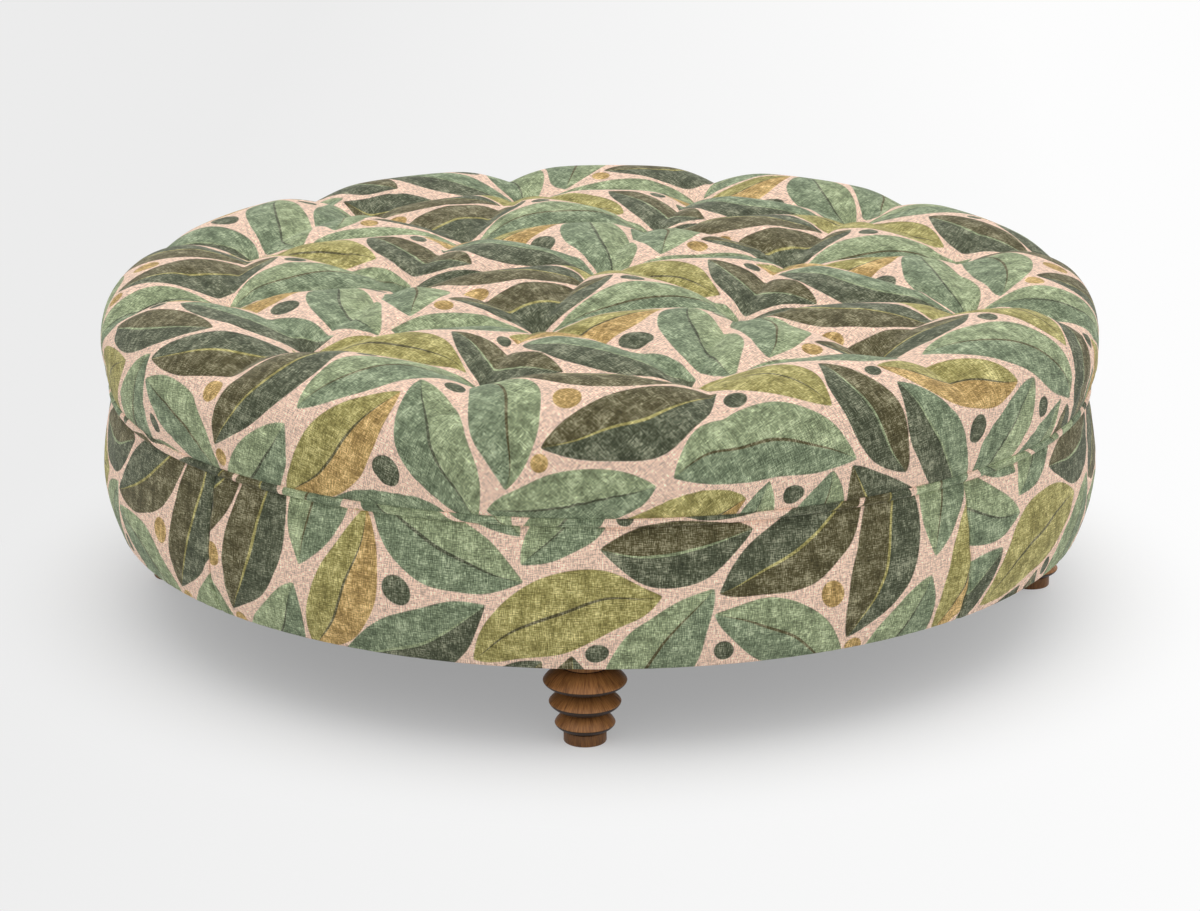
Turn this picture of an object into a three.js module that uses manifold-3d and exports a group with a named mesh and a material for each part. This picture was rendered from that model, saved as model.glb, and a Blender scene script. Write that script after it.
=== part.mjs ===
// Round tufted footstool: a blind-tufted cushion over a welted fabric band, on four turned legs.
// Millimetres, +Z up, origin on the floor under the centre. The front leg stands towards -Y.
// Angles run from the front leg, anticlockwise seen from above.
import * as THREE from "three";
import { mergeVertices } from "three/addons/utils/BufferGeometryUtils.js";
import Module from "manifold-3d";

const wasm = await Module();
wasm.setup();

// Clearance between pieces that touch, and how far a drilling tool overshoots.
const fit = 0.3;
const overrun = 5;

// Cloth and boards
const clothThickness = 2;
const dustClothThickness = 0.8;
const boardThickness = 18;

// Cushion: its widest ring, its side below and its shoulder above that ring, and its crown
const cushionRadius = 610;
const cushionSideHeight = 54;
const cushionDrawIn = 10;
const shoulderWidth = 122;
const shoulderHeight = 78;
const shoulderPower = 2.3;
const crownHeight = 16;

// Blind tufts: one in the middle, a ring of six and a ring of twelve
const innerTuftCount = 6;
const innerTuftRadius = 244;
const outerTuftCount = 12;
const outerTuftInset = 154;
const tuftStartAngle = -15;
const tuftDepth = 34;
const tuftReach = 125;
const valleyDepth = 20;
const valleyReach = 88;
const edgeValleyDepth = 16;
const edgeValleyReach = 80;
const hollowPower = 3;
const tuftPadThickness = 12;

// Foam slab under the wadding
const foamInset = 16;
const foamEdgeRadius = 40;

// Tuft ties: twine, and the washer that holds it under the deck
const tieRadius = 1.5;
const tieHoleClearance = 0.5;
const tieWasherRadius = 9;
const tieWasherThickness = 3;

// Welt round the joint between the cushion and the band
const weltDiameter = 11;
const weltTuck = 3;
const weltRise = 2;

// Side band: four panels that swell between the welt and the turned-under hem
const bandPanelCount = 4;
const bandTopOut = 1;
const bandSwell = 13;
const bandFootIn = 4;
const bandSwellShare = 0.43;
const bandHemRadius = 4;
const bandHemWidth = 30;
const bandSeamAngle = 45;

// Frame between the two boards
const baseSetback = 5;
const hoopThickness = 4;
const uprightCount = 8;
const uprightHeight = 136;
const uprightWidth = 70;
const uprightDepth = 45;

// Turned legs: a short foot, three buns that widen upward on one core, and a collar
const legCount = 4;
const legInset = 47;
const legHeight = 102.5;
const legFootHeight = 13.7;
const legFootRadius = 24.1;
const legFootChamfer = 1.5;
const legCoreRadius = 20.7;
const bunCount = 3;
const lowestBunRadius = 34;
const bunRadiusStep = 6.5;
const bunPitch = 25.1;
const lowestBunUnderside = 8.6;
const bunUnderside = 11.5;
const bunUndersidePower = 1.62;
const bunTopPower = 1.24;
const collarRadius = 26;
const collarHeight = 13;

// Leg fixing: hanger bolt, tee nut and the block it pulls against
const boltRadius = 4;
const boltPointLength = 5;
const boltDepthInLeg = 36;
const boltEndProud = 2;
const boltBoreClearance = 0.4;
const boltHoleClearance = 1;
const blockWidth = 90;
const blockThickness = 30;
const nutBarrelWall = 1.2;
const nutBarrelLength = 9;
const nutBarrelClearance = 0.4;
const nutFlangeRadius = 12;
const nutFlangeThickness = 1.6;

// Facets: columns round the body, a leg, a small turned piece and a tie
const columns = 48;
const legColumns = 20;
const boltColumns = 12;
const tieColumns = 6;
const weltSides = 8;
const arcSteps = 3;

// Rings of the tufted skin, as shares of the stretch between two named rings
const centreRingShares = [0.25, 0.53, 0.78];
const middleRingShares = [0.26, 0.5, 0.76];
const rimRingShare = 0.5;
const shoulderRingShares = [0.32, 0.5, 0.68, 0.84, 1];
const sideRingShares = [0.5, 1];
const centreColumns = columns / 4;
const middleColumns = columns / 2;
const edgeFadeStartShare = 0.72;
const bandRingShares = [1, 0.74, 0.43, 0.18, 0];

// Levels, from the floor up
const dustClothBottom = legHeight + fit;
const hemBottom = dustClothBottom + dustClothThickness + fit;
const baseBottom = hemBottom + clothThickness + fit;
const baseTop = baseBottom + boardThickness;
const deckBottom = baseTop + fit + uprightHeight + fit;
const deckTop = deckBottom + boardThickness;
const weltLevel = deckTop + weltRise - weltDiameter / 2;
const bandTop = weltLevel - weltDiameter / 2 - fit;
const bandFoot = hemBottom + bandHemRadius;
const seamLevel = weltLevel + weltDiameter / 2 + fit;
const widestLevel = seamLevel + cushionSideHeight;
const shoulderLevel = widestLevel + shoulderHeight;

// Radii, from the widest ring in
const seamRadius = cushionRadius - cushionDrawIn;
const shoulderRadius = cushionRadius - shoulderWidth;
const outerTuftRadius = cushionRadius - outerTuftInset;
const weltRingRadius = seamRadius - weltTuck;
const deckRadius = weltRingRadius - weltDiameter / 2 - fit;
const baseRadius = deckRadius - baseSetback;
const foamRadius = deckRadius - foamInset;
const hoopInnerRadius = baseRadius - hoopThickness;
const bandTopRadius = weltRingRadius + bandTopOut;
const bandWidestRadius = bandTopRadius + bandSwell;
const bandFootRadius = bandTopRadius - bandFootIn;
const bandWidestLevel = bandFoot + (bandTop - bandFoot) * bandSwellShare;
const legCircleRadius = baseRadius - legInset;

// How far a flat-sided piece may reach inside a ring made of flat facets.
const facetedReach = (radius) => radius * Math.cos(Math.PI / columns) - fit;

const legs = ["front", "right", "back", "left"];

function fabric(color, roughness) {
  return new THREE.MeshStandardMaterial({ color, roughness, metalness: 0 });
}

const materials = {
  cover: fabric("#b7a68f", 0.92),
  band: fabric("#a9a489", 0.92),
  welt: fabric("#8f9479", 0.9),
  wadding: fabric("#f1eee6", 0.97),
  foam: fabric("#e8dcae", 0.95),
  dustCloth: fabric("#232324", 0.95),
  twine: fabric("#d8cbb0", 0.85),
  plywood: new THREE.MeshStandardMaterial({ color: "#caa873", roughness: 0.75, metalness: 0 }),
  hardboard: new THREE.MeshStandardMaterial({ color: "#7d5a3c", roughness: 0.7, metalness: 0 }),
  softwood: new THREE.MeshStandardMaterial({ color: "#d7b98a", roughness: 0.8, metalness: 0 }),
  stainedBeech: new THREE.MeshStandardMaterial({ color: "#734a2c", roughness: 0.42, metalness: 0 }),
  zincSteel: new THREE.MeshStandardMaterial({ color: "#b9bcc0", roughness: 0.35, metalness: 1 }),
};

const object = new THREE.Group();
object.name = "tufted_footstool";

function addPiece(name, geometry, material, parent = object) {
  const mesh = new THREE.Mesh(geometry, material);
  mesh.name = name;
  parent.add(mesh);
  return mesh;
}

// A point at a radius, an angle in degrees from the front, and a level.
function polar(radius, degrees, level) {
  const angle = THREE.MathUtils.degToRad(degrees);
  return new THREE.Vector3(radius * Math.sin(angle), -radius * Math.cos(angle), level);
}

// Outline of a full round piece, or of a hole through one.
function roundOutline(radius, count, centre = new THREE.Vector3()) {
  return Array.from({ length: count }, (_, i) => {
    const point = polar(radius, (360 * i) / count, 0).add(centre);
    return new THREE.Vector2(point.x, point.y);
  });
}

// A flat board or cloth cut to an outline, with round holes, lying on a level.
function board(outline, holes, thickness, level) {
  const shape = new THREE.Shape(outline);
  shape.holes = holes.map((points) => new THREE.Path(points));
  const geometry = new THREE.ExtrudeGeometry(shape, { depth: thickness, bevelEnabled: false });
  return geometry.translate(0, 0, level);
}

// A turned piece: the outline holds Vector2(radius, level), walked with the material on its left.
function turned(outline, count) {
  return new THREE.LatheGeometry(outline, count).rotateX(Math.PI / 2);
}

function closedOutline(points) {
  return [...points, points[0].clone()];
}

// Closed body with its points shared, as a solid that can be cut.
function toSolid(geometry) {
  const bare = geometry.clone();
  bare.deleteAttribute("normal");
  bare.deleteAttribute("uv");
  const merged = mergeVertices(bare);
  const mesh = new wasm.Mesh({
    numProp: 3,
    vertProperties: merged.attributes.position.array,
    triVerts: new Uint32Array(merged.index.array),
  });
  return new wasm.Manifold(mesh);
}

function fromSolid(solid) {
  const mesh = solid.getMesh();
  const geometry = new THREE.BufferGeometry();
  geometry.setAttribute("position", new THREE.BufferAttribute(mesh.vertProperties, mesh.numProp));
  geometry.setIndex(new THREE.BufferAttribute(mesh.triVerts, 1));
  geometry.computeVertexNormals();
  return geometry;
}

// Tufts: their places on the plan, and the valleys that run between them

function tuftRing(name, count, radius) {
  return Array.from({ length: count }, (_, i) => {
    const angle = tuftStartAngle + (360 * i) / count;
    return { name: `${name}_${i + 1}`, angle, place: polar(radius, angle, 0) };
  });
}

const centreTuft = { name: "centre", angle: 0, place: new THREE.Vector3() };
const innerTufts = tuftRing("inner", innerTuftCount, innerTuftRadius);
const outerTufts = tuftRing("outer", outerTuftCount, outerTuftRadius);
const tufts = [centreTuft, ...innerTufts, ...outerTufts];

function nextInRing(ring, index) {
  return ring[(index + 1) % ring.length];
}

// The turn between two tufts round the middle, in degrees either way.
function turnBetween(one, other) {
  return Math.abs(THREE.MathUtils.euclideanModulo(one.angle - other.angle + 180, 360) - 180);
}

// Each inner tuft joins the middle, its neighbour and the outer tufts within one inner step.
function tuftValleys() {
  const innerStep = 360 / innerTuftCount;
  const valleys = [];
  innerTufts.forEach((tuft, i) => {
    const near = outerTufts.filter((outer) => turnBetween(tuft, outer) < innerStep - 1);
    valleys.push([centreTuft, tuft], [tuft, nextInRing(innerTufts, i)]);
    valleys.push(...near.map((outer) => [tuft, outer]));
  });
  outerTufts.forEach((tuft, i) => valleys.push([tuft, nextInRing(outerTufts, i)]));
  return valleys.map(([start, end]) => new THREE.Line3(start.place, end.place));
}

const valleys = tuftValleys();
const edgeValleys = outerTufts.map(
  (tuft) => new THREE.Line3(tuft.place, polar(cushionRadius, tuft.angle, 0)),
);

// A hollow that is deepest on its line or point and runs out at its reach.
function hollow(distance, depth, reach) {
  return depth * Math.max(0, 1 - distance / reach) ** 2;
}

// How far the skin is drawn down at a place on the plan.
function drawDown(x, y) {
  const place = new THREE.Vector3(x, y, 0);
  const nearest = new THREE.Vector3();
  const toLine = (line) => line.closestPointToPoint(place, true, nearest).distanceTo(place);
  const fade = 1 - THREE.MathUtils.smoothstep(
    place.length(),
    THREE.MathUtils.lerp(outerTuftRadius, cushionRadius, edgeFadeStartShare),
    cushionRadius,
  );
  const hollows = [
    ...tufts.map((tuft) => hollow(tuft.place.distanceTo(place), tuftDepth, tuftReach)),
    ...valleys.map((line) => hollow(toLine(line), valleyDepth, valleyReach)),
    ...edgeValleys.map((line) => fade * hollow(toLine(line), edgeValleyDepth, edgeValleyReach)),
  ];
  return hollows.reduce((sum, depth) => sum + depth ** hollowPower, 0) ** (1 / hollowPower);
}

// Section of the untufted cushion, from the centre to the seam: radius, level and outward normal.

function crownPoint(radius) {
  const turn = (Math.PI * Math.min(radius, shoulderRadius)) / shoulderRadius;
  const level = shoulderLevel + (crownHeight * (1 + Math.cos(turn))) / 2;
  return { radius, level, normal: new THREE.Vector2(0, 1) };
}

function shoulderPoint(share) {
  const angle = (share * Math.PI) / 2;
  const across = Math.sin(angle);
  const up = Math.max(0, Math.cos(angle));
  const radius = shoulderRadius + shoulderWidth * across ** (2 / shoulderPower);
  const level = widestLevel + shoulderHeight * up ** (2 / shoulderPower);
  const bend = 2 - 2 / shoulderPower;
  const normal = new THREE.Vector2(across ** bend / shoulderWidth, up ** bend / shoulderHeight);
  return { radius, level, normal: normal.normalize() };
}

function sidePoint(share) {
  const drop = cushionSideHeight * share;
  const normal = new THREE.Vector2(cushionSideHeight, -2 * cushionDrawIn * share);
  return {
    radius: cushionRadius - cushionDrawIn * share ** 2,
    level: widestLevel - drop,
    normal: normal.normalize(),
  };
}

// Rings of the skin with the number of columns each has, from the inside out.
function skinSection() {
  const between = (start, end, shares) => shares.map((share) => THREE.MathUtils.lerp(start, end, share));
  const rings = [];
  const addCrown = (radii, count) => radii.forEach((r) => rings.push({ ...crownPoint(r), count }));
  const centreRadii = between(0, innerTuftRadius, centreRingShares);
  addCrown(centreRadii.slice(0, 2), centreColumns);
  addCrown([...centreRadii.slice(2), innerTuftRadius], middleColumns);
  const middleRadii = between(innerTuftRadius, outerTuftRadius, middleRingShares);
  addCrown(middleRadii.slice(0, 1), middleColumns);
  addCrown([...middleRadii.slice(1), outerTuftRadius], columns);
  const firstShoulder = shoulderPoint(shoulderRingShares[0]);
  const rim = THREE.MathUtils.lerp(outerTuftRadius, firstShoulder.radius, rimRingShare);
  rings.push({ ...crownPoint(rim), count: columns });
  shoulderRingShares.forEach((share) => rings.push({ ...shoulderPoint(share), count: columns }));
  sideRingShares.forEach((share) => rings.push({ ...sidePoint(share), count: columns }));
  return rings;
}

// Points of the tufted skin, set in from the outer face by a depth of material.
function tuftedSkin(depth) {
  const rings = skinSection().map(({ radius, level, normal, count }) =>
    Array.from({ length: count }, (_, i) => {
      const angle = tuftStartAngle + (360 * i) / count;
      const outer = polar(radius, angle, 0);
      const down = level > widestLevel ? drawDown(outer.x, outer.y) : 0;
      return polar(radius - normal.x * depth, angle, level - normal.y * depth - down);
    }),
  );
  const middle = crownPoint(0).level - depth - drawDown(0, 0);
  return [[new THREE.Vector3(0, 0, middle)], ...rings];
}

// Triangles between two rings, the second with as many points as the first or twice as many.
// The diagonals turn over at every other column, so they mirror about each tuft.
function joinRings(faces, inner, outer) {
  const ratio = outer.length / inner.length;
  outer.forEach((point, i) => {
    const next = outer[(i + 1) % outer.length];
    const near = inner[Math.floor(i / ratio) % inner.length];
    const nearNext = inner[Math.floor((i + 1) / ratio) % inner.length];
    if (near === nearNext) faces.push([near, point, next]);
    else if (i % 2) faces.push([near, point, nearNext], [nearNext, point, next]);
    else faces.push([near, point, next], [near, next, nearNext]);
  });
}

function joinAll(rings) {
  const faces = [];
  rings.slice(1).forEach((ring, i) => joinRings(faces, rings[i], ring));
  return faces;
}

function fromFaces(faces) {
  const geometry = new THREE.BufferGeometry().setFromPoints(faces.flat());
  geometry.computeVertexNormals();
  return geometry;
}

// A closed shell: the outer skin, its rim, and the inner skin with the faces turned over.
function shell(outerRings, innerRings) {
  const faces = joinAll(outerRings);
  joinRings(faces, outerRings.at(-1), innerRings.at(-1));
  joinAll(innerRings).forEach(([a, b, c]) => faces.push([a, c, b]));
  return fromFaces(faces);
}

// The inner face of the wadding and the outer face of the foam: a slab with a rounded top edge.
function slabSection(grow, top, bottom) {
  const radius = foamRadius + grow;
  const arc = Array.from({ length: arcSteps + 1 }, (_, i) => {
    const angle = ((arcSteps - i) * Math.PI) / 2 / arcSteps;
    const edge = foamEdgeRadius + grow;
    return new THREE.Vector2(
      radius - edge + edge * Math.cos(angle),
      top - edge + edge * Math.sin(angle),
    );
  });
  return [new THREE.Vector2(0, top), ...arc, new THREE.Vector2(radius, bottom)];
}

const coverOuter = tuftedSkin(0);
const coverInner = tuftedSkin(clothThickness);
const waddingOuter = tuftedSkin(clothThickness + fit);

// Level of the deepest tuft on a skin of the cushion.
function lowestTuft(skin) {
  const inReach = skin.flat().filter((point) => Math.hypot(point.x, point.y) < outerTuftRadius + fit);
  return Math.min(...inReach.map((point) => point.z));
}

const foamTop = lowestTuft(waddingOuter) - tuftPadThickness;
const foamBottom = deckTop + fit;
const tieHoleRadius = tieRadius + tieHoleClearance;

// Straight holes for the ties, cut through a body of the cushion.
function drilledForTies(geometry) {
  const bottom = foamBottom - overrun;
  const height = crownPoint(0).level + overrun - bottom;
  const drill = new THREE.CylinderGeometry(tieHoleRadius, tieHoleRadius, height, tieColumns);
  drill.rotateX(Math.PI / 2).translate(0, 0, bottom + height / 2);
  return tufts.reduce(
    (solid, { place }) => solid.subtract(toSolid(drill.clone().translate(place.x, place.y, 0))),
    toSolid(geometry),
  );
}

function slabRings(section) {
  return section.map((point) =>
    point.x === 0
      ? [new THREE.Vector3(0, 0, point.y)]
      : Array.from({ length: columns }, (_, i) =>
        polar(point.x, tuftStartAngle + (360 * i) / columns, point.y)),
  );
}

function addCushion() {
  addPiece("seat_cover", shell(coverOuter, coverInner), materials.cover);
  const waddingRim = waddingOuter.at(-1)[0].z;
  const waddingInner = slabRings(slabSection(fit, foamTop + fit, waddingRim));
  const wadding = drilledForTies(shell(waddingOuter, waddingInner));
  addPiece("seat_wadding", fromSolid(wadding), materials.wadding);
  const foamSkin = slabRings(slabSection(0, foamTop, foamBottom));
  const foamUnderside = [[new THREE.Vector3(0, 0, foamBottom)], foamSkin.at(-1)];
  const foam = drilledForTies(shell(foamSkin, foamUnderside));
  addPiece("seat_foam", fromSolid(foam), materials.foam);
}

// Each tie runs from its washer under the deck to the back of the cover at its tuft.
function addTuftTies() {
  const tuftBack = (place) => crownPoint(Math.hypot(place.x, place.y)).level
    - drawDown(place.x, place.y) - clothThickness - fit;
  tufts.forEach(({ name, place }) => {
    const washerTop = deckBottom - fit;
    const washerBottom = washerTop - tieWasherThickness;
    const outline = [
      new THREE.Vector2(0, washerBottom),
      new THREE.Vector2(tieWasherRadius, washerBottom),
      new THREE.Vector2(tieWasherRadius, washerTop),
      new THREE.Vector2(tieRadius, washerTop),
      new THREE.Vector2(tieRadius, tuftBack(place)),
      new THREE.Vector2(0, tuftBack(place)),
    ];
    const tie = addPiece(`tuft_tie_${name}`, turned(outline, tieColumns), materials.twine);
    tie.position.set(place.x, place.y, 0);
  });
}

function addWelt() {
  const section = roundOutline(weltDiameter / 2, weltSides).map(
    (point) => new THREE.Vector2(weltRingRadius + point.x, weltLevel + point.y),
  );
  addPiece("seat_welt", turned(closedOutline(section), columns), materials.welt);
}

// Radius of the band's outer face at a level between its foot and its top.
function bandRadius(level) {
  const above = level > bandWidestLevel;
  const end = above ? bandTop : bandFoot;
  const endRadius = above ? bandTopRadius : bandFootRadius;
  const share = (level - bandWidestLevel) / (end - bandWidestLevel);
  return bandWidestRadius - (bandWidestRadius - endRadius) * share ** 2;
}

function bandFace(depth) {
  return bandRingShares.map((share) => {
    const level = THREE.MathUtils.lerp(bandFoot, bandTop, share);
    return new THREE.Vector2(bandRadius(level) - depth, level);
  });
}

// Section of the band: down the outer face, round the hem, in under the body and back inside.
function bandSection() {
  const hemCentre = new THREE.Vector2(bandFootRadius - bandHemRadius, bandFoot);
  const hem = (radius) => Array.from({ length: arcSteps }, (_, i) => {
    const angle = ((i + 1) * Math.PI) / 2 / arcSteps;
    return new THREE.Vector2(
      hemCentre.x + radius * Math.cos(angle),
      hemCentre.y - radius * Math.sin(angle),
    );
  });
  const innerRadius = bandFootRadius - bandHemWidth;
  return [
    ...bandFace(0),
    ...hem(bandHemRadius),
    new THREE.Vector2(innerRadius, hemBottom),
    new THREE.Vector2(innerRadius, hemBottom + clothThickness),
    ...hem(bandHemRadius - clothThickness).reverse(),
    ...bandFace(clothThickness).reverse(),
  ];
}

// A section swept part of the way round, with its two cut ends closed.
function sweptPart(section, startAngle, sweep, steps) {
  const stations = Array.from({ length: steps + 1 }, (_, i) =>
    section.map((point) => polar(point.x, startAngle + (sweep * i) / steps, point.y)),
  );
  const faces = [];
  stations.slice(1).forEach((station, i) => joinRings(faces, station, stations[i]));
  THREE.ShapeUtils.triangulateShape(section, []).forEach(([a, b, c]) => {
    const [first, last] = [stations[0], stations.at(-1)];
    faces.push([first[a], first[b], first[c]]);
    faces.push([last[c], last[b], last[a]]);
  });
  return fromFaces(faces);
}

function addBand() {
  const step = 360 / bandPanelCount;
  const gapAngle = THREE.MathUtils.radToDeg(fit / bandFootRadius);
  legs.forEach((side, i) => {
    const start = i * step - bandSeamAngle + gapAngle / 2;
    const panel = sweptPart(bandSection(), start, step - gapAngle, columns / bandPanelCount);
    addPiece(`band_panel_${side}`, panel, materials.band);
  });
  const boardEdge = baseRadius + fit;
  const deckEdge = deckRadius + fit;
  const stepLevel = deckBottom - fit;
  const padding = [
    ...bandFace(clothThickness + fit),
    new THREE.Vector2(boardEdge, bandFoot),
    new THREE.Vector2(boardEdge, stepLevel),
    new THREE.Vector2(deckEdge, stepLevel),
    new THREE.Vector2(deckEdge, bandTop),
  ];
  addPiece("band_padding", turned(closedOutline(padding).reverse(), columns), materials.wadding);
}

function addBoards() {
  const tieHoles = tufts.map(({ place }) => roundOutline(tieHoleRadius, tieColumns, place));
  const boltHoles = legs.map((_, i) => {
    const centre = polar(legCircleRadius, (360 * i) / legCount, 0);
    return roundOutline(boltRadius + boltHoleClearance, boltColumns, centre);
  });
  const dustClothRadius = baseRadius - (bandHemWidth - bandHemRadius) / 2;
  const deck = board(roundOutline(deckRadius, columns), tieHoles, boardThickness, deckBottom);
  const base = board(roundOutline(baseRadius, columns), boltHoles, boardThickness, baseBottom);
  const cloth = board(
    roundOutline(dustClothRadius, columns), boltHoles, dustClothThickness, dustClothBottom,
  );
  addPiece("deck_board", deck, materials.plywood);
  addPiece("base_board", base, materials.plywood);
  addPiece("dust_cloth", cloth, materials.dustCloth);
}

function addFrame() {
  const hoopBottom = baseTop + fit;
  const hoopTop = deckBottom - fit;
  const hoop = [
    new THREE.Vector2(hoopInnerRadius, hoopBottom),
    new THREE.Vector2(baseRadius, hoopBottom),
    new THREE.Vector2(baseRadius, hoopTop),
    new THREE.Vector2(hoopInnerRadius, hoopTop),
  ];
  addPiece("side_hoop", turned(closedOutline(hoop), columns), materials.hardboard);
  const outerFace = Math.sqrt(facetedReach(hoopInnerRadius) ** 2 - (uprightWidth / 2) ** 2);
  const upright = new THREE.BoxGeometry(uprightWidth, uprightDepth, uprightHeight);
  for (let i = 0; i < uprightCount; i += 1) {
    const angle = (360 * (i + 1 / 2)) / uprightCount;
    const post = addPiece(`upright_${i + 1}`, upright, materials.softwood);
    post.position.copy(polar(outerFace - uprightDepth / 2, angle, hoopBottom + uprightHeight / 2));
    post.rotation.z = THREE.MathUtils.degToRad(angle);
  }
}

// Outline of a leg, up the outside from the floor and down into the bolt's bore.
function legOutline() {
  const outline = [
    new THREE.Vector2(0, 0),
    new THREE.Vector2(legFootRadius - legFootChamfer, 0),
    new THREE.Vector2(legFootRadius, legFootChamfer),
    new THREE.Vector2(legFootRadius, legFootHeight - legFootChamfer),
    new THREE.Vector2(legFootRadius - legFootChamfer, legFootHeight),
  ];
  let groove = new THREE.Vector2(legCoreRadius, legFootHeight);
  for (let i = 0; i < bunCount; i += 1) {
    const rim = new THREE.Vector2(
      lowestBunRadius + i * bunRadiusStep,
      legFootHeight + lowestBunUnderside + i * bunPitch,
    );
    const isLast = i === bunCount - 1;
    const top = isLast
      ? new THREE.Vector2(collarRadius + fit, legHeight - collarHeight)
      : new THREE.Vector2(legCoreRadius, rim.y + bunPitch - bunUnderside);
    outline.push(...bun(groove, rim, top));
    groove = top;
  }
  const boreRadius = boltRadius + boltBoreClearance;
  outline.push(
    new THREE.Vector2(collarRadius, legHeight - collarHeight),
    new THREE.Vector2(collarRadius, legHeight),
    new THREE.Vector2(boreRadius, legHeight),
    new THREE.Vector2(boreRadius, legHeight - boltDepthInLeg),
    new THREE.Vector2(0, legHeight - boltDepthInLeg),
  );
  return outline;
}

// One bun: the underside swells from the groove out to the rim, and the top runs in to the next
// groove, straighter. Both are quarters of a superellipse.
function bun(low, rim, top) {
  const quarter = (end, power, i) => {
    const angle = (i * Math.PI) / 2 / arcSteps;
    return new THREE.Vector2(
      end.x + (rim.x - end.x) * Math.max(0, Math.cos(angle)) ** (2 / power),
      rim.y + (end.y - rim.y) * Math.sin(angle) ** (2 / power),
    );
  };
  const steps = Array.from({ length: arcSteps }, (_, i) => i + 1);
  return [
    ...steps.map((i) => quarter(low, bunUndersidePower, i)).reverse(),
    rim,
    ...steps.map((i) => quarter(top, bunTopPower, i)),
  ];
}

function addLegs() {
  const blockBottom = baseTop + fit;
  const blockTop = blockBottom + blockThickness;
  const flangeBottom = blockTop + fit;
  const flangeTop = flangeBottom + nutFlangeThickness;
  const nutInner = boltRadius + fit;
  const nutOuter = nutInner + nutBarrelWall;
  const barrelBottom = blockTop - nutBarrelLength;
  const boltBottom = legHeight - boltDepthInLeg + fit;
  const boltTop = flangeTop + boltEndProud;
  const leg = turned(legOutline(), legColumns);
  const bolt = turned([
    new THREE.Vector2(0, boltBottom),
    new THREE.Vector2(boltRadius / 2, boltBottom),
    new THREE.Vector2(boltRadius, boltBottom + boltPointLength),
    new THREE.Vector2(boltRadius, boltTop),
    new THREE.Vector2(0, boltTop),
  ], boltColumns);
  const nut = turned(closedOutline([
    new THREE.Vector2(nutInner, barrelBottom),
    new THREE.Vector2(nutOuter, barrelBottom),
    new THREE.Vector2(nutOuter, flangeBottom),
    new THREE.Vector2(nutFlangeRadius, flangeBottom),
    new THREE.Vector2(nutFlangeRadius, flangeTop),
    new THREE.Vector2(nutInner, flangeTop),
  ]), boltColumns);
  const reach = Math.sqrt(facetedReach(hoopInnerRadius) ** 2 - (blockWidth / 2) ** 2);
  const blockHalfDepth = reach - legCircleRadius;
  const blockOutline = [[-1, -1], [1, -1], [1, 1], [-1, 1]].map(
    ([x, y]) => new THREE.Vector2((x * blockWidth) / 2, y * blockHalfDepth),
  );
  const nutHole = roundOutline(nutOuter + nutBarrelClearance, boltColumns);
  const block = board(blockOutline, [nutHole], blockThickness, blockBottom);
  const pieces = [
    ["leg", leg, materials.stainedBeech],
    ["leg_block", block, materials.softwood],
    ["hanger_bolt", bolt, materials.zincSteel],
    ["tee_nut", nut, materials.zincSteel],
  ];
  legs.forEach((side, i) => {
    const angle = (360 * i) / legCount;
    const corner = new THREE.Group();
    corner.position.copy(polar(legCircleRadius, angle, 0));
    corner.rotation.z = THREE.MathUtils.degToRad(angle);
    object.add(corner);
    pieces.forEach(([name, geometry, material]) => {
      addPiece(`${name}_${side}`, geometry, material, corner);
    });
  });
}

addCushion();
addTuftTies();
addWelt();
addBand();
addBoards();
addFrame();
addLegs();

export default object;
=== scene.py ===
"""Round tufted footstool: cloth, padding, turned legs and underside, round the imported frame."""

from __future__ import annotations

import logging
import math
from dataclasses import dataclass, field
from enum import Enum
from functools import partial
from typing import Callable, Mapping, Sequence

import bpy
import numpy as np
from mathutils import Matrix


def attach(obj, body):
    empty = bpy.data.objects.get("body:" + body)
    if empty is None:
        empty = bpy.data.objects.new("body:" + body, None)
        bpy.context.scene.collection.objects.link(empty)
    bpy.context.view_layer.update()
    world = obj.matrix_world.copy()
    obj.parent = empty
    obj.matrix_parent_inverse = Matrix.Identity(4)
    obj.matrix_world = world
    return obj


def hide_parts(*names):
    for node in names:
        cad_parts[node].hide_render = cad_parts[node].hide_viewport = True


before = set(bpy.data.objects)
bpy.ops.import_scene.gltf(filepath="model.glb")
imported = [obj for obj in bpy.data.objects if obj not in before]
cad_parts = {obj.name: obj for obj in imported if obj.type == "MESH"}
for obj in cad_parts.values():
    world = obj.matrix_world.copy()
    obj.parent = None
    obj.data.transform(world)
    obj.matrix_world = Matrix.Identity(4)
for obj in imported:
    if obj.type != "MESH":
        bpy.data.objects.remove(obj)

log = logging.getLogger("footstool")
MM = 0.001
BODY = "root"
CLOTH_MAP = "cloth"
STAIN_AND_SHADE = "groove"
PAINTED_PINCH_SHADE = "pinch"
SIDES = ("front", "right", "back", "left")

Value = float | Sequence[float] | bpy.types.NodeSocket
Outputs = Mapping[str | int, bpy.types.NodeSocket]
AddNode = Callable[..., Outputs]


# Small helpers


def linear(colour: str) -> tuple[float, float, float, float]:
    """Turns an sRGB hex colour into a linear one.

    Args:
        colour: the colour as "#RRGGBB".

    Returns:
        Linear red, green and blue, and an alpha of 1.
    """
    shares = [int(colour[i : i + 2], 16) / 255 for i in (1, 3, 5)]
    red, green, blue = (
        c / 12.92 if c <= 0.04045 else ((c + 0.055) / 1.055) ** 2.4 for c in shares
    )
    return red, green, blue, 1.0


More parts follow.
